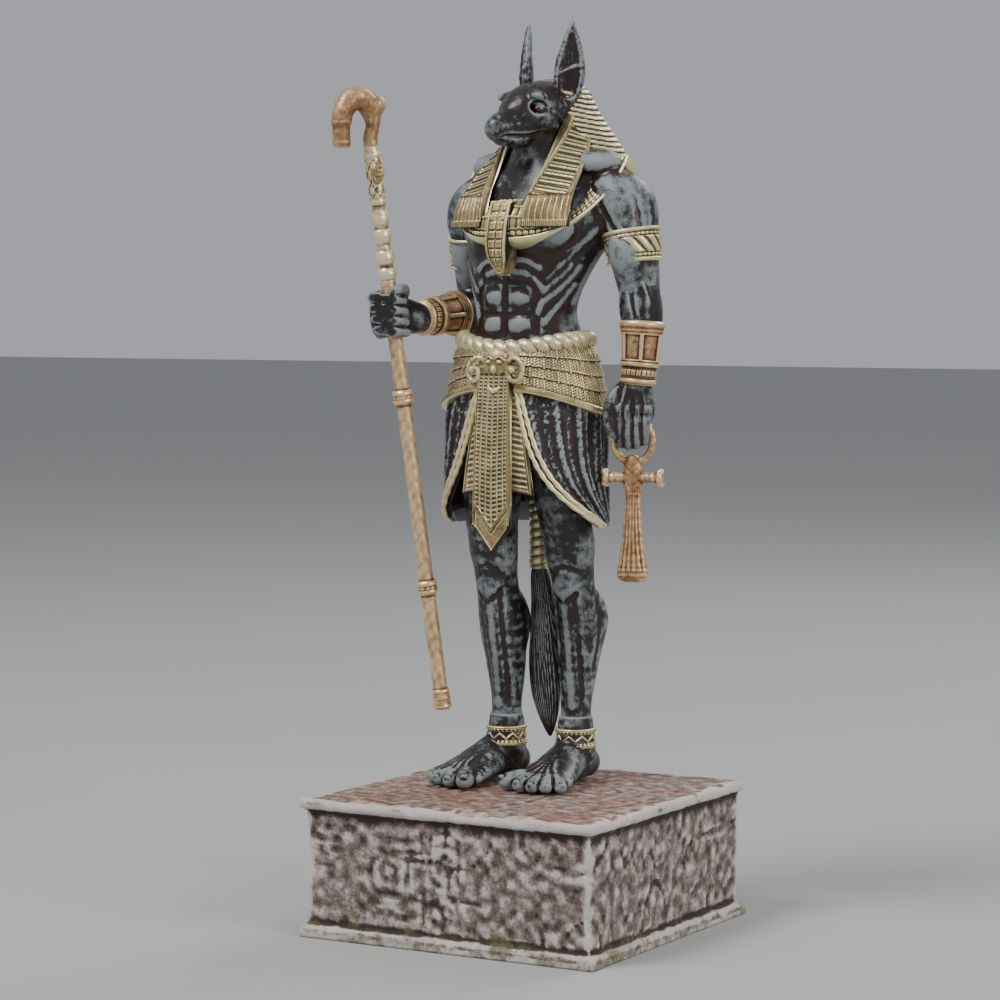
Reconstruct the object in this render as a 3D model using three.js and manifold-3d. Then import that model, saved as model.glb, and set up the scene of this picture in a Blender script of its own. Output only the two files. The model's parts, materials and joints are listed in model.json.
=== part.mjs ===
// A jackal-headed figure on a square stone plinth, with a crook staff in one fist and an ankh in the
// other. Millimetres, +Z up, facing -Y. The origin is the centre of the plinth's underside.
import * as THREE from "three";
import { mergeVertices } from "three/addons/utils/BufferGeometryUtils.js";
import Module from "manifold-3d";

const wasm = await Module();
wasm.setup();

// Plinth
const PLINTH_WIDTH = 120;
const PLINTH_HEIGHT = 51;
const TOP_SLAB = 5.1;
const FOOT_SLAB = 4.9;
const BLOCK_INSET = 2;
const SLAB_CHAMFER = 0.8;
const SIGN_DEPTH = 0.7;

// Heights on the figure, above the plinth's top
const ANKLET_FOOT = 19.5;
const ANKLET_HEIGHT = 12.5;
const KILT_HEM = 95;
const KILT_TOP = 152;
const BELT_HEIGHT = 163;
const EAR_TIP = 279;

// Plan positions of the figure's main masses, and how far each turns to the figure's right, in degrees
const PELVIS = { x: -7, y: 12, turn: 0 };
const CHEST = { x: -0.5, y: 19.4, turn: 10 };
const HEAD = { x: -0.7, y: 15.9, turn: 14 };

// Things held
const FIT_GAP = 0.35;
const STAFF_RADIUS = 2.7;
const STAFF_FOOT = new THREE.Vector3(-33.7, -3.2, 26.7);
const STAFF_LEAN = new THREE.Vector3(-0.071, -0.1235, 1);
const GRIP_HEIGHT = 172;
const ANKH_CENTRE = new THREE.Vector3(37.5, 11.5, 127);
const ANKH_TURN = 15;
const RING_WIDTH = 17;
const RING_HEIGHT = 18.5;
const RING_WIRE = 1.25;

const DEGREE = Math.PI / 180;
const UP = new THREE.Vector3(0, 0, 1);
const FRONT = new THREE.Vector3(0, -1, 0);

// A point given by its distance to the left, behind and above, in the plan of one of the main masses.
function inPlan(mass, left, back, height) {
  const c = Math.cos(mass.turn * DEGREE);
  const s = Math.sin(mass.turn * DEGREE);
  return new THREE.Vector3(mass.x + left * c + back * s, mass.y - left * s + back * c, height);
}

// A closed solid from a three.js geometry, with its faces turned outward.
function solid(geometry) {
  const bare = geometry.clone();
  bare.deleteAttribute("normal");
  bare.deleteAttribute("uv");
  const merged = mergeVertices(bare, 1e-4);
  const points = merged.attributes.position.array;
  const corners = Array.from(merged.index.array);
  let volume = 0;
  const a = new THREE.Vector3();
  const b = new THREE.Vector3();
  const c = new THREE.Vector3();
  const kept = [];
  for (let i = 0; i < corners.length; i += 3) {
    const [p, q, r] = corners.slice(i, i + 3);
    if (p === q || q === r || r === p) {
      continue;
    }
    kept.push([p, q, r]);
    a.fromArray(points, 3 * p);
    b.fromArray(points, 3 * q);
    c.fromArray(points, 3 * r);
    volume += a.dot(b.cross(c));
  }
  const faces = volume < 0 ? kept.map(([p, q, r]) => [p, r, q]) : kept;
  return new wasm.Manifold(new wasm.Mesh({
    numProp: 3,
    vertProperties: new Float32Array(points),
    triVerts: new Uint32Array(faces.flat()),
  }));
}

function join(solids) {
  return solids.reduce((sum, next) => sum.add(next));
}

function curve(points) {
  const places = points.map((point) => new THREE.Vector3(...point));
  return new THREE.CatmullRomCurve3(places, false, "catmullrom");
}

// Stations become more rings on a smooth curve through them.
function smooth(stations, rings) {
  const places = curve(stations.map((s) => s.at));
  const sizes = curve(stations.map((s) => [s.wide, s.deep, s.turn ?? 0]));
  const result = [];
  for (let i = 0; i <= rings; i += 1) {
    const size = sizes.getPoint(i / rings);
    result.push({ at: places.getPoint(i / rings).toArray(), wide: size.x, deep: size.y, turn: size.z });
  }
  return result;
}

// A closed skin over a row of oval sections. Each is square to the row, or level when asked.
function limb(stations, sides, { level = false, front = FRONT, shape = () => 1 } = {}) {
  const rows = stations.length - 1;
  const geometry = new THREE.CylinderGeometry(1, 1, 1, sides, rows);
  const points = stations.map((s) => new THREE.Vector3(...s.at));
  const frames = stations.map((s, i) => {
    const along = level
      ? UP.clone()
      : points[Math.min(i + 1, rows)].clone().sub(points[Math.max(i - 1, 0)]).normalize();
    const ahead = front.clone().applyAxisAngle(UP, -(s.turn ?? 0) * DEGREE);
    const wide = along.clone().cross(ahead).normalize();
    return { wide, deep: along.clone().cross(wide) };
  });
  const position = geometry.attributes.position;
  const place = new THREE.Vector3();
  for (let i = 0; i < position.count; i += 1) {
    place.fromBufferAttribute(position, i);
    const row = Math.round((0.5 - place.y) * rows);
    const scale = shape(Math.atan2(place.x, place.z), row / rows);
    const spot = points[row].clone()
      .addScaledVector(frames[row].wide, place.x * stations[row].wide * scale)
      .addScaledVector(frames[row].deep, place.z * stations[row].deep * scale);
    position.setXYZ(i, spot.x, spot.y, spot.z);
  }
  return solid(geometry);
}

// A bent board: place(u, v, side) gives the point across, along and through it, each from 0 to 1.
function board(columns, rows, place) {
  const geometry = new THREE.BoxGeometry(1, 1, 1, columns, 1, rows);
  const position = geometry.attributes.position;
  for (let i = 0; i < position.count; i += 1) {
    const spot = place(position.getX(i) + 0.5, position.getZ(i) + 0.5, position.getY(i) + 0.5);
    position.setXYZ(i, spot.x, spot.y, spot.z);
  }
  return solid(geometry);
}

function lump(at, radii, turn = 0, sides = 8, rings = 6) {
  const geometry = new THREE.SphereGeometry(1, sides, rings);
  geometry.rotateX(Math.PI / 2);
  geometry.scale(...radii);
  geometry.rotateZ(-turn * DEGREE);
  geometry.translate(at.x, at.y, at.z);
  return solid(geometry);
}

// Round rings of a named profile along a straight run, for bands, beads and cuffs.
function band(from, to, profile, sides, flatness = 1) {
  const start = new THREE.Vector3(...from);
  const run = new THREE.Vector3(...to).sub(start);
  return limb(profile.map(([t, radius]) => ({
    at: start.clone().addScaledVector(run, t).toArray(),
    wide: radius,
    deep: radius * flatness,
  })), sides);
}

const BEADED_CUFF = [[0, 1.04], [0.17, 1.06], [0.2, 0.97], [0.8, 0.97], [0.83, 1.06], [1, 1.04]];

function cuff(from, to, radius, endRadius, sides, flatness = 1) {
  const profile = BEADED_CUFF.map(([t, share]) => [t, share * (radius + (endRadius - radius) * t)]);
  return band(from, to, profile, sides, flatness);
}

function box(size, at) {
  const geometry = new THREE.BoxGeometry(...size);
  geometry.translate(...at);
  return solid(geometry);
}

// Plinth: a block between two thin slabs, with shallow strokes cut in its four sides.
function slab(foot, height) {
  const half = PLINTH_WIDTH / 2;
  const outline = [[half - SLAB_CHAMFER, 0], [half, SLAB_CHAMFER], [half, height - SLAB_CHAMFER],
    [half - SLAB_CHAMFER, height]];
  const rows = outline.map(([reach, z]) => ({
    at: [0, 0, foot + z], wide: reach * Math.SQRT2, deep: reach * Math.SQRT2,
  }));
  return limb(rows, 4, { level: true, front: new THREE.Vector3(Math.SQRT1_2, -Math.SQRT1_2, 0) });
}

// The strokes of one side, as [x, z, length, height] from the side's middle and the block's foot.
const SIDE_STROKES = [
  [-14, 30, 14, 2], [-24, 13, 30, 2], [-4, 21, 2, 34], [6, 25, 2, 14], [7, 9, 13, 2],
];

function strokes(side) {
  const reach = PLINTH_WIDTH / 2 - BLOCK_INSET;
  const cuts = SIDE_STROKES.map(([x, z, length, height]) => {
    const geometry = new THREE.BoxGeometry(length, 2 * SIGN_DEPTH, height);
    geometry.translate(x, -reach, FOOT_SLAB + z);
    geometry.rotateZ(side * 90 * DEGREE);
    return solid(geometry);
  });
  return join(cuts);
}

function plinth() {
  const block = PLINTH_WIDTH - 2 * BLOCK_INSET;
  const body = box([block, block, PLINTH_HEIGHT - 2], [0, 0, PLINTH_HEIGHT / 2]);
  const whole = body.add(slab(0, FOOT_SLAB)).add(slab(PLINTH_HEIGHT - TOP_SLAB, TOP_SLAB));
  return [0, 1, 2, 3].reduce((rest, side) => rest.subtract(strokes(side)), whole);
}

// Torso: level sections that lean back and turn from the pelvis to the shoulders, then a broad neck.
function torso() {
  const inChest = (back, height, wide, deep, turn) => ({
    at: inPlan(CHEST, 0, back, height).toArray(), wide, deep, turn,
  });
  const stations = [
    { at: [-7, 12, 150], wide: 25, deep: 17, turn: 0 },
    { at: [-6.8, 11, 162], wide: 23.5, deep: 15, turn: 0 },
    { at: [-5.8, 9.4, 173], wide: 20.2, deep: 13.4, turn: 2 },
    { at: [-4.8, 10.2, 183], wide: 22.5, deep: 14.8, turn: 4 },
    { at: [-3.6, 12, 193], wide: 27, deep: 17, turn: 7 },
    inChest(-5, 203, 30.5, 19.6, 10),
    inChest(-5.4, 211, 30.5, 18.6, 10),
    inChest(-5.4, 219, 25, 15.6, 10),
    inChest(-5, 226, 15.5, 13.4, 11),
    inChest(-4.4, 233, 11, 12, 12),
    inChest(-4, 242, 9.4, 10, 14),
  ];
  return limb(smooth(stations, 11), 13, { level: true, shape: muscles });
}

// Chest, belly and flank muscles, as small swellings of the torso's skin.
function muscles(angle, t) {
  const ahead = -Math.cos(angle);
  const aside = Math.abs(Math.sin(angle));
  if (ahead < 0) {
    return 1 - 0.04 * Math.max(0, 1 - 3 * aside);
  }
  const belly = t > 0.12 && t < 0.42 ? 0.03 * Math.sin(t * 90) - 0.07 * Math.max(0, 1 - 4 * aside) : 0;
  const chest = t > 0.44 && t < 0.62 ? 0.06 * Math.sin(Math.PI * aside) : 0;
  return 1 + belly + chest;
}

// Legs, with the calf behind the shin.
const LEFT_LEG = [
  { at: [5, 12.5, 150], wide: 12, deep: 13.5 },
  { at: [6, 13, 125], wide: 11.6, deep: 12.6 },
  { at: [7.2, 15.5, 100], wide: 9.8, deep: 10.6 },
  { at: [8.4, 18, 84], wide: 8.1, deep: 8.8 },
  { at: [9.2, 19, 71], wide: 7.8, deep: 8.2 },
  { at: [9.6, 23.4, 56], wide: 9, deep: 9.6 },
  { at: [8.2, 24, 40], wide: 7.2, deep: 7.8 },
  { at: [7.6, 23.6, 28], wide: 5.7, deep: 5.9 },
  { at: [7.5, 23.5, 14], wide: 5.8, deep: 6.2 },
  { at: [7.4, 23.5, 5], wide: 6.4, deep: 8 },
];
const RIGHT_LEG = [
  { at: [-19, 12.5, 150], wide: 12, deep: 13.5 },
  { at: [-20.2, 11.5, 125], wide: 11.6, deep: 12.6 },
  { at: [-21, 11, 100], wide: 9.8, deep: 10.6 },
  { at: [-20.6, 12.3, 84], wide: 8.1, deep: 8.8 },
  { at: [-20, 13.6, 71], wide: 7.8, deep: 8.2 },
  { at: [-19.6, 17.4, 56], wide: 9, deep: 9.4 },
  { at: [-19.1, 18.6, 40], wide: 7.2, deep: 7.6 },
  { at: [-19, 18.3, 28], wide: 5.7, deep: 5.9 },
  { at: [-19, 18.3, 14], wide: 5.8, deep: 6.2 },
  { at: [-19, 18.2, 5], wide: 6.4, deep: 8 },
];

const LEG_SIDES = 8;

function leg(stations) {
  const [x, y] = stations.at(-2).at;
  const anklet = cuff([x, y, ANKLET_FOOT + ANKLET_HEIGHT], [x, y, ANKLET_FOOT], 7.2, 7.5, LEG_SIDES, 1.06);
  return limb(stations, LEG_SIDES).add(anklet);
}

// A bare foot from heel to ball, and five toes fanned across its front.
function foot(heel, ball, toes) {
  const run = ball.clone().sub(heel);
  const at = (t, height) => heel.clone().addScaledVector(run, t).setZ(height).toArray();
  const stations = [
    { at: at(-0.02, 5), wide: 3, deep: 3 },
    { at: at(0.05, 6.2), wide: 6, deep: 6 },
    { at: at(0.3, 8), wide: 7.4, deep: 7.9 },
    { at: at(0.6, 5.8), wide: 8.8, deep: 5.7 },
    { at: at(0.9, 3.4), wide: 11.2, deep: 3.3 },
    { at: at(1.02, 2.4), wide: 10.8, deep: 2.3 },
  ];
  const pieces = [limb(stations, 8, { front: UP.clone().negate() })];
  toes.forEach(([x, y, size]) => {
    const root = heel.clone().addScaledVector(run, 0.82);
    const fan = new THREE.Vector3(x, y, 0).lerp(root, 0.5);
    const knuckle = new THREE.Vector3(x, y, 0).lerp(fan, 0.2);
    const toe = [
      { at: [fan.x, fan.y, 2.4], wide: size * 0.6, deep: size * 0.6 },
      { at: [knuckle.x, knuckle.y, size * 0.85], wide: size * 0.95, deep: size * 0.8 },
      { at: [x, y, size * 0.8], wide: size * 0.6, deep: size * 0.5 },
    ];
    pieces.push(limb(toe, 4, { front: UP.clone().negate() }));
  });
  return join(pieces);
}

// Tips of the toes from the big toe outward, as [x, y, half width].
const LEFT_TOES = [[-3.6, -8.6, 3.3], [3.2, -11.4, 2.7], [9, -12.2, 2.5], [14.2, -11, 2.4],
  [18.8, -7.8, 2.3]];
const RIGHT_TOES = [[-17.4, -15, 3.3], [-24.2, -14.8, 2.7], [-29.4, -12.8, 2.5], [-33.8, -9.6, 2.4],
  [-37.2, -5.4, 2.3]];

// Arms. The left one hangs, the right one reaches forward from the elbow to the staff.
const LEFT_ARM = [
  { at: inPlan(CHEST, 30, -1, 218).toArray(), wide: 8, deep: 9.5 },
  { at: [33.8, 13.5, 211], wide: 10.2, deep: 10.8 },
  { at: [35.8, 13.5, 200], wide: 8.8, deep: 9 },
  { at: [37.4, 13.5, 189], wide: 7.8, deep: 8.2 },
  { at: [39, 13.4, 181], wide: 6.9, deep: 7.4 },
  { at: [40.2, 12.6, 174], wide: 7.4, deep: 7.6 },
  { at: [40.8, 12, 165], wide: 6.4, deep: 6.6 },
  { at: [40, 11.4, 155], wide: 5.5, deep: 6 },
  { at: [39.5, 11.2, 147], wide: 4.8, deep: 5.4 },
];
const RIGHT_ARM = [
  { at: inPlan(CHEST, -30, 0, 217).toArray(), wide: 8, deep: 9.5 },
  { at: [-36.5, 25, 210], wide: 9.8, deep: 10.6 },
  { at: [-38, 27.5, 200], wide: 8.6, deep: 8.8 },
  { at: [-38.5, 29, 189], wide: 7.7, deep: 7.9 },
  { at: [-38.5, 29.5, 180], wide: 6.8, deep: 7.2 },
  { at: [-38.6, 26, 173.5], wide: 7, deep: 7.2 },
  { at: [-39.6, 19.5, 172.5], wide: 7.2, deep: 7.2 },
  { at: [-41.2, 10, 171.5], wide: 6.2, deep: 6 },
  { at: [-42.6, 0, 170.8], wide: 5, deep: 4.8 },
  { at: [-43.4, -7, 170.6], wide: 4.8, deep: 5.4 },
];

const ARM_SIDES = 7;

// Profile of a bracelet from its flared end to the wrist, as [share of the run, radius].
const BRACELET = [[0, 8.5], [0.14, 8.5], [0.17, 7.7], [0.66, 7], [0.7, 7.3], [1, 6.4]];

// How much wider the right bracelet is than the left.
const FLARE = 1.04;

function arms() {
  const left = limb(LEFT_ARM, ARM_SIDES);
  const right = limb(RIGHT_ARM, ARM_SIDES, { front: new THREE.Vector3(-1, -0.3, 0).normalize() });
  const wider = BRACELET.map(([t, radius]) => [t, radius * FLARE]);
  return join([
    left,
    right,
    cuff([35.4, 13.5, 202.5], [37.2, 13.5, 190.5], 10.5, 9.8, ARM_SIDES),
    cuff([-38, 27.6, 201], [-38.5, 29, 189], 10.2, 9.6, ARM_SIDES),
    band([40.7, 12.4, 170], [39.5, 11.2, 147], BRACELET, ARM_SIDES),
    band([-40, 17.5, 172.4], [-43.2, -3.5, 170.8], wider, ARM_SIDES),
  ]);
}

// The right fist closes round the staff, its fingers stacked along it.
function rightFist() {
  const lean = STAFF_LEAN.clone().normalize();
  const middle = staffPoint(GRIP_HEIGHT);
  const about = (angle, reach, rise) => middle.clone()
    .addScaledVector(new THREE.Vector3(Math.sin(angle * DEGREE), -Math.cos(angle * DEGREE), 0), reach)
    .addScaledVector(lean, rise);
  const pieces = [limb([
    { at: [-43.4, -4, 170.8], wide: 5, deep: 5.4 },
    { at: about(-150, 6.4, 0).toArray(), wide: 5, deep: 7.2 },
    { at: about(-95, 5.6, 0.3).toArray(), wide: 3.6, deep: 7.6 },
    { at: about(-60, 5.2, 0.3).toArray(), wide: 2.6, deep: 7.4 },
  ], 8, { front: new THREE.Vector3(0, 0, -1) })];
  for (let finger = 0; finger < 4; finger += 1) {
    const rise = 5.6 - 3.9 * finger;
    const stations = [-95, -30, 35, 98].map((angle, i) => ({
      at: about(angle, 5.2 + 0.5 * Math.cos((angle + 20) * DEGREE), rise).toArray(),
      wide: i === 3 ? 1.5 : 2.1,
      deep: i === 3 ? 1.3 : 1.9,
    }));
    pieces.push(limb(stations, 4, { front: new THREE.Vector3(0, 0, -1) }));
  }
  const thumb = [
    { at: about(-165, 5.6, 4).toArray(), wide: 2.6, deep: 2.6 },
    { at: about(160, 5, 7.4).toArray(), wide: 2.5, deep: 2.5 },
    { at: about(110, 4.8, 8.6).toArray(), wide: 2.2, deep: 2.2 },
    { at: about(60, 4.8, 8.4).toArray(), wide: 1.5, deep: 1.5 },
  ];
  pieces.push(limb(thumb, 5, { front: new THREE.Vector3(0, 0, -1) }));
  return join(pieces);
}

// The left hand hangs, its fingers over the front of the ankh's ring and curled up behind it.
function leftHand() {
  const ringTop = ANKH_CENTRE.z + RING_HEIGHT / 2 - RING_WIRE;
  const hand = { x: ANKH_CENTRE.x, y: ANKH_CENTRE.y, turn: -24 };
  const pieces = [limb([
    { at: [39.5, 11.2, 149], wide: 4.8, deep: 5 },
    { at: inPlan(hand, 0.6, -0.4, 144).toArray(), wide: 6.2, deep: 4.6, turn: -24 },
    { at: inPlan(hand, 0, -0.4, ringTop + 0.4).toArray(), wide: 6.6, deep: 3.4, turn: -24 },
  ], 8, { level: true })];
  for (let finger = 0; finger < 4; finger += 1) {
    const across = -5 + 3.4 * finger;
    const drop = [0.6, 0, 0.4, 1.8][finger];
    const stations = [[-2.6, 6], [-4, -1], [-2, -9], [1.8, -6.6]].map(([back, rise], i) => ({
      at: inPlan(hand, across, back, ringTop + rise + (i > 1 ? drop : 0)).toArray(),
      wide: i === 3 ? 1.2 : 1.85,
      deep: i === 3 ? 1.2 : 1.8,
    }));
    pieces.push(limb(stations, 4, { front: new THREE.Vector3(1, 0, 0) }));
  }
  pieces.push(limb([
    { at: inPlan(hand, -4.5, -1, 143).toArray(), wide: 2.4, deep: 2.4 },
    { at: inPlan(hand, -7.6, -2.6, 138.5).toArray(), wide: 2.2, deep: 2.2 },
    { at: inPlan(hand, -8, -3.4, 132).toArray(), wide: 1.4, deep: 1.4 },
  ], 5));
  return join(pieces);
}

// Head: sections from the back of the skull to the nose, with brows and a parted mouth.
// Each section is [ahead, height, half width, half depth].
const HEAD_SECTIONS = [
  [-9, 246, 5, 5], [-6.5, 246.3, 9, 8.4], [0, 246.4, 11.4, 10], [6, 246, 11.2, 10],
  [10.6, 244.8, 10.2, 9.4], [14, 242.6, 8, 8.2], [17.6, 240.4, 6, 6.6], [22, 239.2, 5, 5.2],
  [25.6, 238.7, 4.4, 4.6], [27.4, 238.6, 3.2, 3.2],
];

function head() {
  const at = (left, ahead, height) => inPlan(HEAD, left, -ahead, height);
  const stations = HEAD_SECTIONS.map(([ahead, height, wide, deep]) => ({
    at: at(0, ahead, height).toArray(), wide, deep,
  }));
  const pieces = [limb(stations, 9, { front: new THREE.Vector3(0, 0, 1) })];
  for (const side of [-1, 1]) {
    pieces.push(lump(at(side * 6.8, 12, 250), [4, 4, 2.2], HEAD.turn + side * 25, 5, 3));
    pieces.push(ear(side));
  }
  const mouth = board(1, 1, (u, v, through) => at((u - 0.5) * 16, 16 + 15 * v, 236.2 + 0.4 * through));
  return join(pieces).subtract(mouth);
}

// A tall pointed ear, hollow on the side that faces forward and outward.
function ear(side) {
  const at = (left, ahead, height) => inPlan(HEAD, side * left, -ahead, height);
  const facing = inPlan({ x: 0, y: 0, turn: HEAD.turn - side * 38 }, 0, -1, 0);
  const outer = [
    { at: at(9.6, 0, 248).toArray(), wide: 3.6, deep: 3.4 },
    { at: at(10.4, 0, 253).toArray(), wide: 4.8, deep: 3 },
    { at: at(11, 0.2, 258.5).toArray(), wide: 5.6, deep: 2.8 },
    { at: at(11.3, 0.7, 265).toArray(), wide: 4.8, deep: 2.2 },
    { at: at(11.1, 1.5, 273).toArray(), wide: 2.4, deep: 1.4 },
    { at: at(10.9, 2.3, EAR_TIP).toArray(), wide: 0.3, deep: 0.3 },
  ];
  const hollow = outer.slice(2, 5).map(({ at: centre, wide, deep }) => ({
    at: new THREE.Vector3(...centre).addScaledVector(facing, 1.9 + 0.35 * deep).toArray(),
    wide: wide * 0.72,
    deep: deep * 0.9,
  }));
  return limb(outer, 6, { front: facing }).subtract(limb(hollow, 4, { front: facing }));
}

// Headcloth: a hood that flares in ridges to the shoulders, and a lappet down each side of the chest.
// Hood sections as [height, half width, half depth, back].
const HOOD = [
  [256.5, 8, 6.5, 2], [253, 14.2, 9, 1.6], [245, 18.8, 10.5, 2.4], [238, 23.6, 11.4, 3.6],
  [231, 28.4, 11.8, 4.8], [225.5, 29.4, 10.6, 5.6], [220, 26, 8.6, 6],
];
const HOOD_RIDGES = 6;

function hood() {
  const stations = HOOD.map(([height, wide, deep, back]) => ({
    at: inPlan(CHEST, 0, back, height).toArray(), wide, deep, turn: CHEST.turn,
  }));
  const rings = smooth(stations, 2 * HOOD_RIDGES);
  const ridged = rings.map((ring, i) => {
    const grow = i % 2 === 0 ? 1 : 0.965;
    return { ...ring, wide: ring.wide * grow, deep: ring.deep * grow };
  });
  return limb(ridged, 10, { level: true });
}

// Centre line of a lappet, as [left, back, height, width, lean of its face outward in degrees].
const LAPPET = [
  [13.6, 1.4, 252, 7, 70], [16, -3.6, 240, 9, 58], [17.8, -12, 229, 13, 36], [18, -21.6, 218, 15.5, 22],
  [18, -25.8, 210, 17, 16], [18.2, -26.6, 203.5, 17.6, 14],
];
const LAPPET_THICKNESS = 2.6;
const LAPPET_PLEATS = 5;

function lappet(side) {
  const line = curve(LAPPET.map(([left, back, height]) => [left, back, height]));
  const form = curve(LAPPET.map(([, , , width, lean]) => [width, lean, 0]));
  return board(LAPPET_PLEATS, 5, (u, v, through) => {
    const middle = line.getPoint(v);
    const { x: width, y: lean } = form.getPoint(v);
    const across = (u - 0.5) * width;
    const pleat = Math.round(u * LAPPET_PLEATS) % 2 === 0 || v < 0.6 ? 0 : -0.5;
    const out = through * (LAPPET_THICKNESS + pleat) - LAPPET_THICKNESS;
    const c = Math.cos(lean * DEGREE);
    const s = Math.sin(lean * DEGREE);
    const left = middle.x + across * c + out * s;
    const back = middle.y + across * s - out * c;
    return inPlan(CHEST, side * left, back, middle.z);
  });
}

// Broad collar, draped from the neck over the chest, shoulders and back, with a thick beaded rim.
const COLLAR_EDGE = {
  front: 29, side: 35.8, back: 22, frontHeight: 197, sideHeight: 228.5, backHeight: 205,
};
const COLLAR_NECK = {
  front: 25, side: 12, back: 9, frontHeight: 213, sideHeight: 232, backHeight: 231,
};

// How late the collar's rim climbs from the front and the back to the shoulders.
const COLLAR_SWEEP = 2.7;

// The collar's inside is drawn in to this share of its reach and lowered, into the chest.
const COLLAR_ROOT = 0.5;
const COLLAR_DROP = 6;

function collarLine(line, angle) {
  const ahead = Math.cos(angle);
  const aside = Math.sin(angle);
  const [end, height] = ahead > 0 ? [line.front, line.frontHeight] : [line.back, line.backHeight];
  const share = (Math.asin(Math.abs(aside)) / (Math.PI / 2)) ** COLLAR_SWEEP;
  return {
    reach: 1 / Math.hypot(ahead / end, aside / line.side),
    height: height + (line.sideHeight - height) * share,
  };
}

function collarPoint(angle, spread, out) {
  const neck = collarLine(COLLAR_NECK, angle);
  const edge = collarLine(COLLAR_EDGE, angle);
  const bow = 3.6 * Math.sin(Math.PI * spread) * Math.abs(Math.cos(angle));
  const reach = neck.reach + (edge.reach - neck.reach) * spread + bow + out * Math.abs(Math.cos(angle));
  const height = neck.height + (edge.height - neck.height) * spread + out * 0.7 + 0.5 * bow;
  return { reach, height };
}

function collar() {
  const spreads = [0, 0.5, 0.84, 1];
  const rows = spreads.length - 1;
  const halves = [0, 1].map((half) => board(half === 0 ? 12 : 6, rows, (u, v, through) => {
    const angle = (half + u * 1.02 - 0.51) * Math.PI;
    const row = Math.round(v * rows);
    const rim = row >= rows - 1 ? 1 : 0.2;
    const { reach, height } = collarPoint(angle, spreads[row], rim);
    const depth = through === 1 ? 1 : COLLAR_ROOT;
    const drop = through === 1 ? 0 : COLLAR_DROP;
    return inPlan(CHEST, reach * depth * Math.sin(angle), -reach * depth * Math.cos(angle), height - drop);
  }));
  return join(halves);
}

// The pendant tongue that hangs below the collar's front, as [width, height, ahead] down its length.
const PENDANT = [[9.5, 213, 28.4], [9.5, 197, 31.6], [8.4, 192, 30.6], [5, 188.4, 29.2],
  [1.6, 186.6, 28.4]];

function pendant() {
  const rows = PENDANT.length - 1;
  return board(1, rows, (u, v, through) => {
    const [width, height, ahead] = PENDANT[Math.round(v * rows)];
    return inPlan(CHEST, (u - 0.5) * width, -ahead + 6 * (1 - through), height);
  });
}

// Belt: a two-strand rope round the waist that dips at the buckle.
const BELT = { wide: 24.6, deep: 15.6, rope: 2.9, turns: 16, dip: 3.2 };

function ropeBelt() {
  const steps = 26;
  const geometry = new THREE.TorusGeometry(1, 0.1, 4, steps);
  const position = geometry.attributes.position;
  for (let i = 0; i < position.count; i += 1) {
    const x = position.getX(i);
    const y = position.getY(i);
    const around = Math.atan2(x, -y);
    const radial = (Math.hypot(x, y) - 1) / 0.1;
    const rise = position.getZ(i) / 0.1;
    const twist = Math.atan2(rise, radial);
    const size = BELT.rope * (1 + 0.16 * Math.cos(2 * twist + BELT.turns * around));
    const ahead = Math.cos(around);
    const dip = ahead > 0 ? BELT.dip * ahead ** 3 : 0;
    position.setXYZ(i,
      PELVIS.x + 0.3 + Math.sin(around) * (BELT.wide + size * radial),
      PELVIS.y - 1 - Math.cos(around) * (BELT.deep + size * radial),
      BELT_HEIGHT - dip + size * rise);
  }
  return solid(geometry);
}

// Oval of the kilt and the girdle at a height.
const SKIRT = [[166, 23.5, 15.2], [158, 27.4, 18], [147, 29.8, 20.4], [137, 31.2, 22.2], [125, 31.8, 23.4],
  [110, 32, 24], [92, 31.6, 24]];

function skirtOval(height) {
  let i = 1;
  while (i < SKIRT.length - 1 && SKIRT[i][0] > height) {
    i += 1;
  }
  const [above, below] = [SKIRT[i - 1], SKIRT[i]];
  const t = THREE.MathUtils.clamp((above[0] - height) / (above[0] - below[0]), 0, 1);
  return { wide: above[1] + (below[1] - above[1]) * t, deep: above[2] + (below[2] - above[2]) * t };
}

function skirtPoint(angle, height, out) {
  const { wide, deep } = skirtOval(height);
  return inPlan(PELVIS, Math.sin(angle) * (wide + out), -Math.cos(angle) * (deep + out), height);
}

// Girdle: four rows of round-ended feathers that overlap like tiles, and a hem, both higher at the front.
const FEATHER_ROWS = 4;
const FEATHERS = 13;
const GIRDLE_OPENING = 14;
const GIRDLE_TOP = 161;
const GIRDLE_HEM = 136;
const GIRDLE_RISE = 9;

function girdle() {
  const columns = 2 * FEATHERS;
  const rows = 2 * FEATHER_ROWS + 2;
  return board(columns, rows, (u, v, through) => {
    const angle = (GIRDLE_OPENING + u * (360 - 2 * GIRDLE_OPENING)) * DEGREE;
    const hem = GIRDLE_HEM + GIRDLE_RISE * Math.max(0, Math.cos(angle)) ** 1.5;
    const border = hem + 3;
    const step = Math.round(v * rows);
    if (through === 0) {
      return skirtPoint(angle, GIRDLE_TOP + (hem - GIRDLE_TOP) * v, -5);
    }
    if (step >= rows - 1) {
      return skirtPoint(angle, step === rows ? hem : border - 0.6, 2.2);
    }
    const row = Math.floor(step / 2);
    const low = step % 2;
    const crest = (Math.round(u * columns) + row) % 2;
    const share = (row + low * (0.86 + 0.14 * crest)) / FEATHER_ROWS;
    const out = low === 1 ? 1.4 + 1.1 * crest : 0.3;
    return skirtPoint(angle, GIRDLE_TOP + (border - GIRDLE_TOP) * share, out);
  });
}

// Kilt: a wrap open at the front, its swept folds falling from the girdle to the back hem.
const KILT_WALL = 2.2;
const KILT_FOLDS = 10;

// The front edge's angle from the middle, in degrees: at the top, then what spreads and sweeps it open.
const OPENING_TOP = 150;
const OPENING = { top: 11, spread: 26, sweep: 52 };

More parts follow.
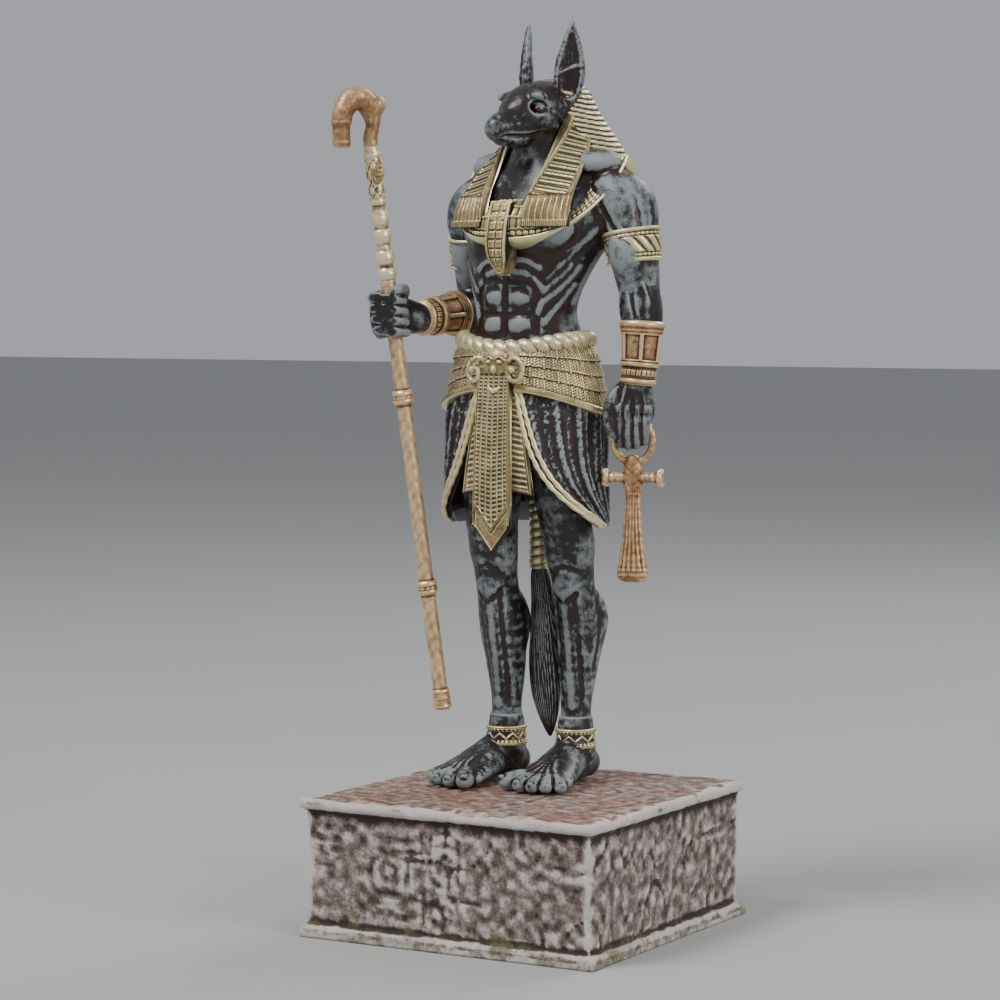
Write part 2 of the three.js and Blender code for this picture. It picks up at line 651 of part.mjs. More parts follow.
function kiltFrontEdge(height) {
  const t = THREE.MathUtils.clamp((OPENING_TOP - height) / (OPENING_TOP - KILT_HEM), 0, 1);
  return (OPENING.top + OPENING.spread * t + OPENING.sweep * t ** 5) * DEGREE;
}

function kilt() {
  return board(22, 4, (u, v, through) => {
    const height = KILT_TOP - (KILT_TOP - KILT_HEM) * v;
    const edge = kiltFrontEdge(height);
    const run = Math.min(u, 1 - u) * 2;
    const angle = edge + (Math.PI - edge) * run;
    const sweep = Math.PI * KILT_FOLDS * run * (0.7 + 0.3 * v);
    const fold = 0.8 * Math.sin(sweep) * Math.min(1, 6 * run, 3 * v) - 0.4;
    return skirtPoint(u < 0.5 ? angle : 2 * Math.PI - angle, height, through === 1 ? fold : -KILT_WALL);
  });
}

// Lining that ties the kilt to the hips, above the open part.
function hips() {
  const stations = [[162.6, 1], [140, 0.95], [128, 0.86], [120, 0.7]].map(([height, scale]) => {
    const { wide, deep } = skirtOval(height);
    return { at: [PELVIS.x, PELVIS.y, height], wide: wide * scale, deep: deep * scale };
  });
  return limb(stations, 16, { level: true });
}

// Apron: a long striped panel with a pointed end, over two shorter side panels.
const APRON = { top: 150, hem: 96, tip: 86.5, topWidth: 12.6, hemWidth: 15, ahead: 21.6, thickness: 2.2 };

function apronPanel() {
  const stripes = 6;
  const rows = 4;
  return board(stripes, rows, (u, v, through) => {
    const side = Math.abs(2 * u - 1);
    const hem = APRON.tip + (APRON.hem - APRON.tip) * side;
    const height = APRON.top + (hem - APRON.top) * v;
    const width = APRON.topWidth + (APRON.hemWidth - APRON.topWidth) * v;
    const stripe = Math.round(u * stripes) % 2 === 0 ? 0.7 : 0;
    const ahead = APRON.ahead + 2.2 * Math.sin(v * 2.2) + through * (APRON.thickness + stripe) - 0.6;
    return inPlan(PELVIS, (u - 0.5) * width, -ahead, height);
  });
}

function apronSide(side) {
  return board(1, 6, (u, v, through) => {
    const rib = Math.round(v * 6) % 2 === 0 ? 0.5 : 0;
    const height = 148 - 39 * v;
    const left = 4 + (4.5 + 6 * v) * u;
    const ahead = APRON.ahead - 2 + 1.8 * Math.sin(v * 2.2) - 1.6 * u + through * (1.6 + rib);
    return inPlan(PELVIS, side * left, -ahead, height - 2 * u);
  });
}

// Buckle: a maned mask between two scrolls, over the rope and the top of the apron.
function buckle() {
  const at = (left, ahead, height) => inPlan(PELVIS, left, -ahead, height);
  const pieces = [
    lump(at(0, 20, 153), [7.6, 4, 8.6], 0, 7, 4),
  ];
  for (const side of [-1, 1]) {
    pieces.push(lump(at(side * 8, 19.8, 152), [4.4, 2.8, 5.4], 0, 5, 3));
  }
  return join(pieces);
}

// The long tail that hangs between the legs from the back of the belt: a wound shaft, then loose hair.
const TAIL_TOP = 128;
const HAIR_TOP = 78;

const WINDINGS = 9;

// Sections of the loose hair, as [height, half width, half depth].
const HAIR = [[HAIR_TOP, 2.6, 2.6], [66, 4, 3], [50, 5.2, 3.4], [36, 5.6, 3.4], [26, 4.6, 2.8],
  [15, 0.6, 0.6]];

function tail() {
  const wound = [];
  for (let i = 0; i <= WINDINGS; i += 1) {
    const t = i / WINDINGS;
    const radius = 2.7 + (i % 2) * 0.5 + 0.5 * t;
    const height = TAIL_TOP + (HAIR_TOP - TAIL_TOP) * t;
    wound.push({ at: [-8.5, 23.5 + 0.6 * t, height], wide: radius, deep: radius });
  }
  const hair = HAIR.map(([height, wide, deep], i) => ({
    at: [-8.2 + 0.7 * i, 24.2 + 0.2 * i, height], wide, deep,
  }));
  const strands = (angle) => 1 + 0.12 * Math.cos(6 * angle);
  return limb(wound, 6).add(limb(hair, 8, { shape: strands }));
}

// Staff: a leaning shaft with turned beads, a sleeve and a thick crook.
function staffPoint(height) {
  return STAFF_FOOT.clone().addScaledVector(STAFF_LEAN, height - STAFF_FOOT.z);
}

// Heights and radii up the shaft: foot cap, two rings, turned beads and the sleeve.
const STAFF_PROFILE = [
  [26.7, 2.8], [27.6, 3.5], [33.6, 3.5], [34.4, STAFF_RADIUS], [69.2, STAFF_RADIUS], [70.2, 3.8],
  [74, 3.8], [75, STAFF_RADIUS], [139, STAFF_RADIUS], [140.2, 3.8], [144, 3.8], [145, STAFF_RADIUS],
  [184.6, STAFF_RADIUS], [187, 3.5], [189.2, 2.6], [191, 3.2],
  [194.3, 3.3], [197.5, 2.5], [200.7, 3.3], [203.2, 2.5], [205.4, 3.1], [209, 2.9], [211.4, 2.4],
  [213, 3], [229.5, 3], [236, 2.5],
];
// The crook from its neck over the top and down, as [forward, rise, radius] from the shaft's upper end.
const CROOK = [
  [-0.6, -2, 2.5], [-1.2, 3.5, 2.3], [-1, 7, 2.8], [0.8, 11.4, 3.8], [4, 13.8, 4.2], [7.4, 13, 4.1],
  [10.2, 9.6, 3.7], [11.2, 5.4, 3.5], [11.2, 4.8, 3.1], [11.2, -1.8, 3.1], [11, -2.4, 2.8],
  [10.6, -9.5, 2.5],
];
const CROOK_FOOT = 236;

function staff() {
  const shaft = STAFF_PROFILE.map(([height, radius]) => ({
    at: staffPoint(height).toArray(), wide: radius, deep: radius,
  }));
  const neck = staffPoint(CROOK_FOOT);
  const hook = new THREE.Vector3(-0.53, -0.85, 0);
  const side = new THREE.Vector3(0.85, -0.53, 0);
  const at = (forward, rise) => neck.clone().addScaledVector(hook, forward).setZ(neck.z + rise);
  const crook = CROOK.map(([forward, rise, radius]) => ({
    at: at(forward, rise).toArray(), wide: radius, deep: radius,
  }));
  return join([
    limb(shaft, 5),
    limb(crook, 6, { front: side }),
    lump(at(-2.6, 11.5), [3.6, 3.6, 3.8], 32, 6, 4),
    lump(staffPoint(224).addScaledVector(side, 2.2), [2.6, 1.2, 5.6], -30, 6, 4),
  ]);
}

// Room for the staff through the fist.
function staffRoom() {
  const sides = 10;
  const radius = (STAFF_RADIUS + FIT_GAP) / Math.cos(Math.PI / sides);
  const run = [GRIP_HEIGHT - 22, GRIP_HEIGHT + 18].map((height) => ({
    at: staffPoint(height).toArray(), wide: radius, deep: radius,
  }));
  return limb(run, sides);
}

// Ankh: an oval ring, a crossbar with scrolled ends and a flared, grooved shank.
function inAnkh(across, ahead, rise) {
  const plan = { x: ANKH_CENTRE.x, y: ANKH_CENTRE.y, turn: -ANKH_TURN };
  return inPlan(plan, across, -ahead, ANKH_CENTRE.z + rise);
}

function ring(wire, sides) {
  const geometry = new THREE.TorusGeometry(1, 0.1, sides, 16);
  const position = geometry.attributes.position;
  for (let i = 0; i < position.count; i += 1) {
    const x = position.getX(i);
    const y = position.getY(i);
    const grow = (Math.hypot(x, y) - 1) / 0.1;
    const angle = Math.atan2(y, x);
    const spot = inAnkh(
      Math.cos(angle) * (RING_WIDTH / 2 - RING_WIRE + grow * wire),
      (position.getZ(i) / 0.1) * wire,
      Math.sin(angle) * (RING_HEIGHT / 2 - RING_WIRE + grow * wire));
    position.setXYZ(i, spot.x, spot.y, spot.z);
  }
  return solid(geometry);
}

// Sections of the ankh's middle block and of its flared shank, as [rise, half width, half depth].
const ANKH_BLOCK = [[-6.6, 2, 1.6], [-9, 3, 2], [-11, 3.2, 2.3], [-16.5, 3.2, 2.3], [-18, 2.4, 1.9]];
const ANKH_SHANK = [[-16, 2.7, 2], [-24, 2.9, 2.1], [-36, 3.8, 2.4], [-48, 5.7, 3], [-49.4, 5.4, 2.8]];
const ANKH_BAR = [[-11.4, 0.8], [-10.8, 2.2], [-9.4, 2.3], [-8.6, 1.7], [8.6, 1.7], [9.4, 2.3], [10.8, 2.2],
  [11.4, 0.8]];
const ANKH_BAR_RISE = -13.4;

function ankh() {
  const upright = ([rise, wide, deep]) => ({
    at: inAnkh(0, 0, rise).toArray(), wide, deep, turn: -ANKH_TURN,
  });
  const grooves = (angle) => 1 - 0.1 * Math.abs(Math.round(angle / (36 * DEGREE)) % 2);
  const bar = ANKH_BAR.map(([across, radius]) => ({
    at: inAnkh(across, 0, ANKH_BAR_RISE).toArray(), wide: radius, deep: radius,
  }));
  return join([
    ring(RING_WIRE, 4),
    limb(ANKH_BLOCK.map(upright), 6, { level: true }),
    limb(bar, 5),
    limb(ANKH_SHANK.map(upright), 10, { level: true, shape: grooves }),
  ]);
}

function figure() {
  const body = join([
    torso(),
    leg(LEFT_LEG),
    leg(RIGHT_LEG),
    foot(new THREE.Vector3(6.6, 35, 0), new THREE.Vector3(7.6, -4, 0), LEFT_TOES),
    foot(new THREE.Vector3(-20, 30, 0), new THREE.Vector3(-26.6, -7.6, 0), RIGHT_TOES),
    arms(),
    rightFist(),
    leftHand(),
    head(),
    hood(),
    lappet(1),
    lappet(-1),
    collar(),
    pendant(),
    hips(),
    kilt(),
    girdle(),
    ropeBelt(),
    apronSide(1),
    apronSide(-1),
    apronPanel(),
    buckle(),
    tail(),
  ]);
  const below = box([200, 200, 20], [0, 0, FIT_GAP - 10]);
  return body.subtract(staffRoom()).subtract(ring(RING_WIRE + FIT_GAP + 0.15, 7)).subtract(below);
}

function piece(name, manifold, { color, roughness, metalness }) {
  const mesh = manifold.getMesh();
  const geometry = new THREE.BufferGeometry();
  geometry.setAttribute("position", new THREE.BufferAttribute(new Float32Array(mesh.vertProperties), 3));
  geometry.setIndex(new THREE.BufferAttribute(new Uint32Array(mesh.triVerts), 1));
  const result = new THREE.Mesh(geometry, new THREE.MeshStandardMaterial({ color, roughness, metalness }));
  result.name = name;
  return result;
}

const STONE = { color: 0x8a7c74, roughness: 0.9, metalness: 0 };
const BLACK_AND_GOLD = { color: 0x1b1a1a, roughness: 0.4, metalness: 0.1 };
const ANTIQUE_GOLD = { color: 0x9a7440, roughness: 0.4, metalness: 0.8 };

const statue = new THREE.Group();
const standing = new THREE.Group();
standing.position.z = PLINTH_HEIGHT;
standing.add(piece("figure", figure(), BLACK_AND_GOLD));
standing.add(piece("staff", staff(), ANTIQUE_GOLD));
standing.add(piece("ankh", ankh(), ANTIQUE_GOLD));
statue.add(piece("plinth", plinth(), STONE));
statue.add(standing);

export default statue;
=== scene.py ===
import json
import math

import bpy
import numpy as np
import openvdb
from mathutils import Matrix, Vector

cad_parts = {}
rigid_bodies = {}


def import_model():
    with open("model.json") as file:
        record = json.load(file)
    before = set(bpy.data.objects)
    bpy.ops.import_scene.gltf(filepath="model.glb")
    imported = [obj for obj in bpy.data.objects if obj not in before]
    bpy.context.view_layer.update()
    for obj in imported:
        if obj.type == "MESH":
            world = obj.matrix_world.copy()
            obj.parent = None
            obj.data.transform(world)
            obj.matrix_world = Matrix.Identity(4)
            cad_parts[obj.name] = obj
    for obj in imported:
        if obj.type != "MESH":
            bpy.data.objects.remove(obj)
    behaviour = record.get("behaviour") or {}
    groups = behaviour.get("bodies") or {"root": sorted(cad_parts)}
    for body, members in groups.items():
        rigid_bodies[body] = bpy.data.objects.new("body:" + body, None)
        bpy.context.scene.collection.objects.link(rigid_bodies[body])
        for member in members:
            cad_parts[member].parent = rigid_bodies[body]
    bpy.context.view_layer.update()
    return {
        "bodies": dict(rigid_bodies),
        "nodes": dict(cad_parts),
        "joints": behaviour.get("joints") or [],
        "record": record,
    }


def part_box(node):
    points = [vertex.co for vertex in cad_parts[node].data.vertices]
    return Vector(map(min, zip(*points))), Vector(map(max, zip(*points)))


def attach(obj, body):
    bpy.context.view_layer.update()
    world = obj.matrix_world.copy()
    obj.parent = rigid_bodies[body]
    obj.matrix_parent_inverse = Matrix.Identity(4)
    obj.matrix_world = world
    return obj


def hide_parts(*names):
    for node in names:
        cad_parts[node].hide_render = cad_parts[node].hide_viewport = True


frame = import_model()

# Lengths below are millimetres. The figure's heights are measured from the plinth's top.
MM = 0.001
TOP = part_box("plinth")[1][2] / MM
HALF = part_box("plinth")[1][0] / MM
DEGREE = math.pi / 180

# The photograph's camera, fitted to the plinth's corners
CAMERA_PLACE = (0.5698, -0.9968, 0.2311)
CAMERA_PITCH = 86.254
CAMERA_TURN = 30.236
CAMERA_LENS = 114.09

# Plan positions of the figure's main masses, and how far each turns to the figure's right, in degrees
PELVIS = (-7, 12, 0)
CHEST = (-0.5, 19.4, 10)
HEAD = (-0.7, 15.9, 14)
NO_MASS = (0, 0, 0)

STAFF_FOOT = np.array([-33.7, -3.2, 26.7])
STAFF_LEAN = np.array([-0.071, -0.1235, 1])
GRIP_HEIGHT = 172
ANKH = (37.5, 11.5, -15)
ANKH_HEIGHT = 127
HAND = (37.5, 11.5, -24)

UP = np.array([0.0, 0.0, 1.0])
FRONT = np.array([0.0, -1.0, 0.0])


# Placing

def in_plan(mass, left, back, height):
    """The point a distance left, behind and above, in the plan of one of the main masses."""
    x, y, turn = mass
    c, s = math.cos(turn * DEGREE), math.sin(turn * DEGREE)
    left, back, height = np.broadcast_arrays(left, back, height)
    return np.stack([x + left * c + back * s, y - left * s + back * c, height], -1).astype(float)


def unit(vector):
    return vector / np.maximum(np.linalg.norm(vector, axis=-1, keepdims=True), 1e-9)


def spline(values, count):
    """A smooth row of count values through the given ones."""
    values = np.asarray(values, float)
    ends = np.vstack([2 * values[0] - values[1], values, 2 * values[-1] - values[-2]])
    t = np.linspace(0, len(values) - 1, count)
    i = np.minimum(t.astype(int), len(values) - 2)
    f = (t - i)[:, None]
    a, b, c, d = ends[i], ends[i + 1], ends[i + 2], ends[i + 3]
    return 0.5 * (2 * b + (c - a) * f + (2 * a - 5 * b + 4 * c - d) * f**2 + (3 * b - a - 3 * c + d) * f**3)


def smoothstep(low, high, value):
    t = np.clip((value - low) / (high - low), 0, 1)
    return t * t * (3 - 2 * t)


def bump(value):
    """A round bump of height 1 for value from -1 to 1, and 0 beyond."""
    return np.sqrt(np.clip(1 - value**2, 0, 1))


LATTICE = np.random.default_rng(7).random((32, 32, 32)).astype(np.float32)


def noise(points, size, seed=0):
    """Soft random values from -1 to 1 with lumps of a given size."""
    p = np.asarray(points, np.float32) / size + 13.7 * (seed + 1)
    cell = np.floor(p).astype(int)
    f = p - cell
    f = f * f * (3 - 2 * f)
    total = 0
    for corner in range(8):
        step = [(corner >> axis) & 1 for axis in range(3)]
        weight = 1
        for axis in range(3):
            weight = weight * (f[..., axis] if step[axis] else 1 - f[..., axis])
        index = [(cell[..., axis] + step[axis]) % 32 for axis in range(3)]
        total = total + weight * LATTICE[index[0], index[1], index[2]]
    return 2 * total - 1


def rough(points, size, seed=0, octaves=3):
    return sum(noise(points, size / 2**i, seed + i) / 2**i for i in range(octaves))


# Clay: a distance field in a box, built up from soft forms and turned into a mesh

class Clay:
    def __init__(self, low, high, voxel):
        self.voxel = voxel
        self.low = np.array(low, float)
        counts = np.ceil((np.array(high, float) - self.low) / voxel).astype(int) + 1
        self.axes = [(self.low[i] + voxel * np.arange(counts[i])).astype(np.float32) for i in range(3)]
        self.field = np.full(counts, 6, np.float32)

    def window(self, low, high):
        """The part of the field between two corners, and its coordinates."""
        spans = []
        for axis, start, end in zip(self.axes, low, high):
            first = int(np.searchsorted(axis, start))
            spans.append(slice(first, max(first + 1, int(np.searchsorted(axis, end)))))
        x, y, z = (axis[span] for axis, span in zip(self.axes, spans))
        return tuple(spans), x[:, None, None], y[None, :, None], z[None, None, :]

    def add(self, spans, distance, soft=0.0):
        now = self.field[spans]
        if soft > 0:
            h = np.clip(soft - np.abs(now - distance), 0, None) / soft
            self.field[spans] = np.minimum(now, distance) - h * h * soft / 4
        else:
            self.field[spans] = np.minimum(now, distance)

    def cut(self, spans, distance, soft=0.0):
        now = self.field[spans]
        if soft > 0:
            h = np.clip(soft - np.abs(now + distance), 0, None) / soft
            self.field[spans] = np.maximum(now, -distance) + h * h * soft / 4
        else:
            self.field[spans] = np.maximum(now, -distance)

    def bone(self, a, b, size_a, size_b, side, soft=0.0, cutting=False):
        """An oval cone from a to b. Sizes are (half width along side, half depth)."""
        a, b = np.asarray(a, float), np.asarray(b, float)
        reach = max(*size_a, *size_b) + 3
        spans, x, y, z = self.window(np.minimum(a, b) - reach, np.maximum(a, b) + reach)
        run = b - a
        length = np.linalg.norm(run)
        along = run / max(length, 1e-6)
        across = unit(side - along * np.dot(side, along))
        deep = np.cross(along, across)
        px, py, pz = x - a[0], y - a[1], z - a[2]
        t = (px * along[0] + py * along[1] + pz * along[2]) / max(length, 1e-6)
        held = np.clip(t, 0, 1)
        w = size_a[0] + (size_b[0] - size_a[0]) * held
        d = size_a[1] + (size_b[1] - size_a[1]) * held
        u = (px * across[0] + py * across[1] + pz * across[2]) / w
        v = (px * deep[0] + py * deep[1] + pz * deep[2]) / d
        over = (t - held) * length / np.minimum(w, d)
        distance = (np.sqrt(u * u + v * v + over * over) - 1) * np.minimum(w, d)
        (self.cut if cutting else self.add)(spans, distance.astype(np.float32), soft)

    def limb(self, stations, side, soft=0.6, steps=4, cutting=False):
        """A smooth row of oval sections, each (x, y, z, half width, half depth)."""
        rings = spline(stations, steps * (len(stations) - 1) + 1)
        for a, b in zip(rings[:-1], rings[1:]):
            self.bone(a[:3], b[:3], np.maximum(a[3:5], 0.2), np.maximum(b[3:5], 0.2), side, soft, cutting)

    def lump(self, at, radii, turn=0.0, lean=0.0, soft=1.5, cutting=False):
        """An oval lump: turned about the upright, to the right, then leaned back, in degrees."""
        at = np.asarray(at, float)
        reach = max(radii) + 3
        spans, x, y, z = self.window(at - reach, at + reach)
        c, s = math.cos(turn * DEGREE), math.sin(turn * DEGREE)
        px, py, pz = x - at[0], y - at[1], z - at[2]
        left, back = px * c - py * s, px * s + py * c
        cl, sl = math.cos(lean * DEGREE), math.sin(lean * DEGREE)
        back, up = back * cl - pz * sl, back * sl + pz * cl
        q = [left / radii[0], back / radii[1], up / radii[2]]
        size = np.sqrt(q[0]**2 + q[1]**2 + q[2]**2)
        slope = np.sqrt((q[0] / radii[0])**2 + (q[1] / radii[1])**2 + (q[2] / radii[2])**2)
        distance = size * (size - 1) / np.maximum(slope, 1e-4)
        (self.cut if cutting else self.add)(spans, distance.astype(np.float32), soft)

    def stroke(self, points, width, height, steps=6):
        """Raises, or with a negative height sinks, the surface along a line."""
        line = spline(points, steps * (len(points) - 1) + 1)
        reach = 2.2 * width
        spans, x, y, z = self.window(line.min(0) - reach, line.max(0) + reach)
        nearest = None
        for a, b in zip(line[:-1], line[1:]):
            run = b - a
            px, py, pz = x - a[0], y - a[1], z - a[2]
            t = np.clip((px * run[0] + py * run[1] + pz * run[2]) / max(run @ run, 1e-9), 0, 1)
            gap = (px - t * run[0])**2 + (py - t * run[1])**2 + (pz - t * run[2])**2
            nearest = gap if nearest is None else np.minimum(nearest, gap)
        self.field[spans] -= (height * np.exp(-nearest / (0.5 * width**2))).astype(np.float32)

    def grain(self, size, height, seed=0, octaves=2):
        """A random unevenness near the surface."""
        near = np.argwhere(np.abs(self.field) < 1.5)
        points = self.low + near * self.voxel
        i, j, k = near.T
        self.field[i, j, k] -= (height * rough(points, size, seed, octaves)).astype(np.float32)

    def mesh(self):
        grid = openvdb.FloatGrid(6.0)
        grid.copyFromArray(self.field)
        points, triangles, quads = grid.convertToPolygons(isovalue=0.0)
        points = points * self.voxel + self.low
        faces = [quads[:, ::-1]] if len(quads) else []
        if len(triangles):
            faces.append(triangles[:, ::-1])
        return points, faces


# Pieces

def volume(points, faces):
    """The volume inside a closed skin, negative where it faces inward."""
    total = 0
    for group in faces:
        for k in range(1, group.shape[1] - 1):
            a, b, c = points[group[:, 0]], points[group[:, k]], points[group[:, k + 1]]
            total += np.einsum("ij,ij->", a, np.cross(b, c)) / 6
    return total


def make_piece(name, points, faces, material, node, slot, smooth_rings=14):
    """A mesh object from points in figure millimetres, riding the frame in place of a CAD node."""
    points = np.asarray(points, float) * MM
    points[:, 2] += TOP * MM
    sizes = np.concatenate([np.full(len(group), group.shape[1]) for group in faces])
    corners = np.concatenate([group.ravel() for group in faces])
    if volume(points, faces) < 0:
        faces = [group[:, ::-1] for group in faces]
        corners = np.concatenate([group.ravel() for group in faces])
    mesh = bpy.data.meshes.new(name)
    mesh.vertices.add(len(points))
    mesh.vertices.foreach_set("co", points.ravel())
    mesh.loops.add(len(corners))
    mesh.loops.foreach_set("vertex_index", corners.astype(np.int32))
    mesh.polygons.add(len(sizes))
    mesh.polygons.foreach_set("loop_start", np.concatenate([[0], np.cumsum(sizes)[:-1]]).astype(np.int32))
    mesh.polygons.foreach_set("use_smooth", np.ones(len(sizes), bool))
    mesh.update(calc_edges=True)
    mesh.validate()
    mesh.materials.append(material)
    store_relief(mesh, smooth_rings)
    piece = bpy.data.objects.new(name, mesh)
    bpy.context.collection.objects.link(piece)
    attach(piece, "root")
    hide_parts(node)
    return piece


def store_relief(mesh, rings):
    """How far each point stands out of its surroundings, in millimetres, for the paint."""
    count = len(mesh.vertices)
    points = np.empty(3 * count)
    mesh.vertices.foreach_get("co", points)
    points = points.reshape(-1, 3) / MM
    normals = np.empty(3 * count)
    mesh.vertices.foreach_get("normal", normals)
    normals = normals.reshape(-1, 3)
    edges = np.empty(2 * len(mesh.edges), np.int32)
    mesh.edges.foreach_get("vertices", edges)
    a, b = edges[0::2], edges[1::2]
    degree = np.maximum(np.bincount(edges, minlength=count), 1)
    settled = points.copy()
    for ring in range(rings):
        for axis in range(3):
            value = settled[:, axis]
            total = np.bincount(a, value[b], count) + np.bincount(b, value[a], count)
            settled[:, axis] = 0.5 * value + 0.5 * total / degree
        if ring == 2:
            fine = np.einsum("ij,ij->i", points - settled, normals)
    broad = np.einsum("ij,ij->i", points - settled, normals)
    for name, values in (("fine", fine), ("broad", broad)):
        mesh.attributes.new(name, "FLOAT", "POINT").data.foreach_set("value", values.astype(np.float32))


def grid_faces(rows, columns, closed, start=0, flip=False):
    """Quads over a grid of points in rows. A closed grid joins its last column to its first."""
    across = columns if closed else columns - 1
    row, column = np.meshgrid(np.arange(rows - 1), np.arange(across), indexing="ij")
    following = (column + 1) % columns
    quads = np.stack([row * columns + column, row * columns + following,
                      (row + 1) * columns + following, (row + 1) * columns + column], -1).reshape(-1, 4)
    return start + (quads[:, ::-1] if flip else quads)


def tube(rings):
    """A closed skin over rings of points, with a fan over each end."""
    rows, columns, _ = rings.shape
    points = rings.reshape(-1, 3)
    ends = np.vstack([rings[0].mean(0), rings[-1].mean(0)])
    points = np.vstack([points, ends])
    column = np.arange(columns)
    following = (column + 1) % columns
    first = np.stack([np.full(columns, rows * columns), following, column], -1)
    last_row = (rows - 1) * columns
    last = np.stack([np.full(columns, rows * columns + 1), last_row + column, last_row + following], -1)
    return points, [grid_faces(rows, columns, True), np.vstack([first, last])]


def shell(outer, inner, closed):
    """A wall between two grids with the same columns. An open one gets a rim at each side."""
    rows, columns, _ = outer.shape
    inner_rows = inner.shape[0]
    start = rows * columns
    points = np.vstack([outer.reshape(-1, 3), inner.reshape(-1, 3)])
    faces = [grid_faces(rows, columns, closed), grid_faces(inner_rows, columns, closed, start, True)]
    across = columns if closed else columns - 1
    column = np.arange(across)
    following = (column + 1) % columns
    top = np.stack([following, column, start + column, start + following], -1)
    low, inner_low = (rows - 1) * columns, start + (inner_rows - 1) * columns
    foot = np.stack([low + column, low + following, inner_low + following, inner_low + column], -1)
    faces += [top, foot]
    if not closed:
        down = np.arange(rows) * columns
        back = start + np.arange(inner_rows)[::-1] * columns
        faces.append(np.concatenate([down, back])[None, :][:, ::-1][:, :])
        faces.append(np.concatenate([down, back])[None, :] + columns - 1)
    return points, faces


def ring_frames(path):
    """Two cross directions along a path of points, without twist."""
    along = unit(np.gradient(path, axis=0))
    side = np.zeros_like(path)
    start = np.cross(along[0], UP if abs(along[0][2]) < 0.9 else FRONT)
    side[0] = unit(start)
    for i in range(1, len(path)):
        side[i] = unit(side[i - 1] - along[i] * np.dot(side[i - 1], along[i]))
    return side, np.cross(along, side)


def sweep(path, radius, sides, shape=None):
    """Rings of a tube along a path. shape(row, angle) scales the radius."""
    side, other = ring_frames(path)
    angle = np.linspace(0, 2 * math.pi, sides, endpoint=False)
    row = np.arange(len(path))[:, None]
    size = np.broadcast_to(np.asarray(radius, float).reshape(-1, 1), (len(path), 1))
    if shape is not None:
        size = size * shape(row, angle[None, :])
    size = np.broadcast_to(size, (len(path), sides))[..., None]
    return path[:, None] + size * (side[:, None] * np.cos(angle)[None, :, None]
                                   + other[:, None] * np.sin(angle)[None, :, None])


# Materials

class Paint:
    """A node material built step by step."""

    def __init__(self, name):
        self.material = bpy.data.materials.new(name)
        self.material.use_nodes = True
        self.nodes = self.material.node_tree.nodes
        self.links = self.material.node_tree.links
        self.shader = self.nodes["Principled BSDF"]

    def node(self, kind, **values):
        node = self.nodes.new(kind)
        for key, value in values.items():
            setattr(node, key, value)
        return node

    def place(self):
        return self.node("ShaderNodeTexCoord").outputs["Object"]

    def attribute(self, name):
        return self.node("ShaderNodeAttribute", attribute_name=name).outputs["Fac"]

    def noise(self, size, detail=4.0, roughness=0.6, stretch=(1, 1, 1), distortion=0.0):
        """Noise with lumps of a size in millimetres."""
        mapping = self.node("ShaderNodeMapping")
        self.links.new(self.place(), mapping.inputs["Vector"])
        mapping.inputs["Scale"].default_value = stretch
        texture = self.node("ShaderNodeTexNoise")
        texture.inputs["Scale"].default_value = 1 / (size * MM)
        texture.inputs["Detail"].default_value = detail
        texture.inputs["Roughness"].default_value = roughness
        texture.inputs["Distortion"].default_value = distortion
        self.links.new(mapping.outputs["Vector"], texture.inputs["Vector"])
        return texture.outputs["Fac"]

    def cells(self, size, feature="F1"):
        texture = self.node("ShaderNodeTexVoronoi", feature=feature)
        texture.inputs["Scale"].default_value = 1 / (size * MM)
        self.links.new(self.place(), texture.inputs["Vector"])
        return texture.outputs["Distance"]

    def ramp(self, value, stops):
        ramp = self.node("ShaderNodeValToRGB")
        elements = ramp.color_ramp.elements
        while len(elements) < len(stops):
            elements.new(0.5)
        for element, (position, color) in zip(elements, stops):
            element.position = position
            element.color = (*color, 1) if isinstance(color, tuple) else (color, color, color, 1)
        self.links.new(value, ramp.inputs["Fac"])
        return ramp.outputs["Color"]

    def span(self, value, low, high, to_low=0.0, to_high=1.0):
        """A value from low to high, stretched to 0 to 1 or to other limits."""
        node = self.node("ShaderNodeMapRange")
        node.inputs["From Min"].default_value = low
        node.inputs["From Max"].default_value = high
        node.inputs["To Min"].default_value = to_low
        node.inputs["To Max"].default_value = to_high
        self.links.new(value, node.inputs["Value"])
        return node.outputs["Result"]

    def math(self, operation, a, b):
        node = self.node("ShaderNodeMath", operation=operation)
        for socket, value in zip(node.inputs, (a, b)):
            if isinstance(value, (int, float)):
                socket.default_value = value
            else:
                self.links.new(value, socket)
        return node.outputs["Value"]

    def mix(self, amount, a, b):
        node = self.node("ShaderNodeMix", data_type="RGBA")
        for socket, value in ((node.inputs[0], amount), (node.inputs[6], a), (node.inputs[7], b)):
            if isinstance(value, tuple):
                socket.default_value = (*value, 1)
            elif isinstance(value, (int, float)):
                socket.default_value = value
            else:
                self.links.new(value, socket)
        return node.outputs[2]

    def finish(self, color, roughness, metallic=0.0, bump_height=None, bump_depth=0.1):
        for name, value in (("Base Color", color), ("Roughness", roughness), ("Metallic", metallic)):
            socket = self.shader.inputs[name]
            if isinstance(value, (int, float)):
                socket.default_value = value
            else:
                self.links.new(value, socket)
        if bump_height is not None:
            node = self.node("ShaderNodeBump")
            node.inputs["Strength"].default_value = 1
            node.inputs["Distance"].default_value = bump_depth * MM
            self.links.new(bump_height, node.inputs["Height"])
            self.links.new(node.outputs["Normal"], self.shader.inputs["Normal"])
        return self.material


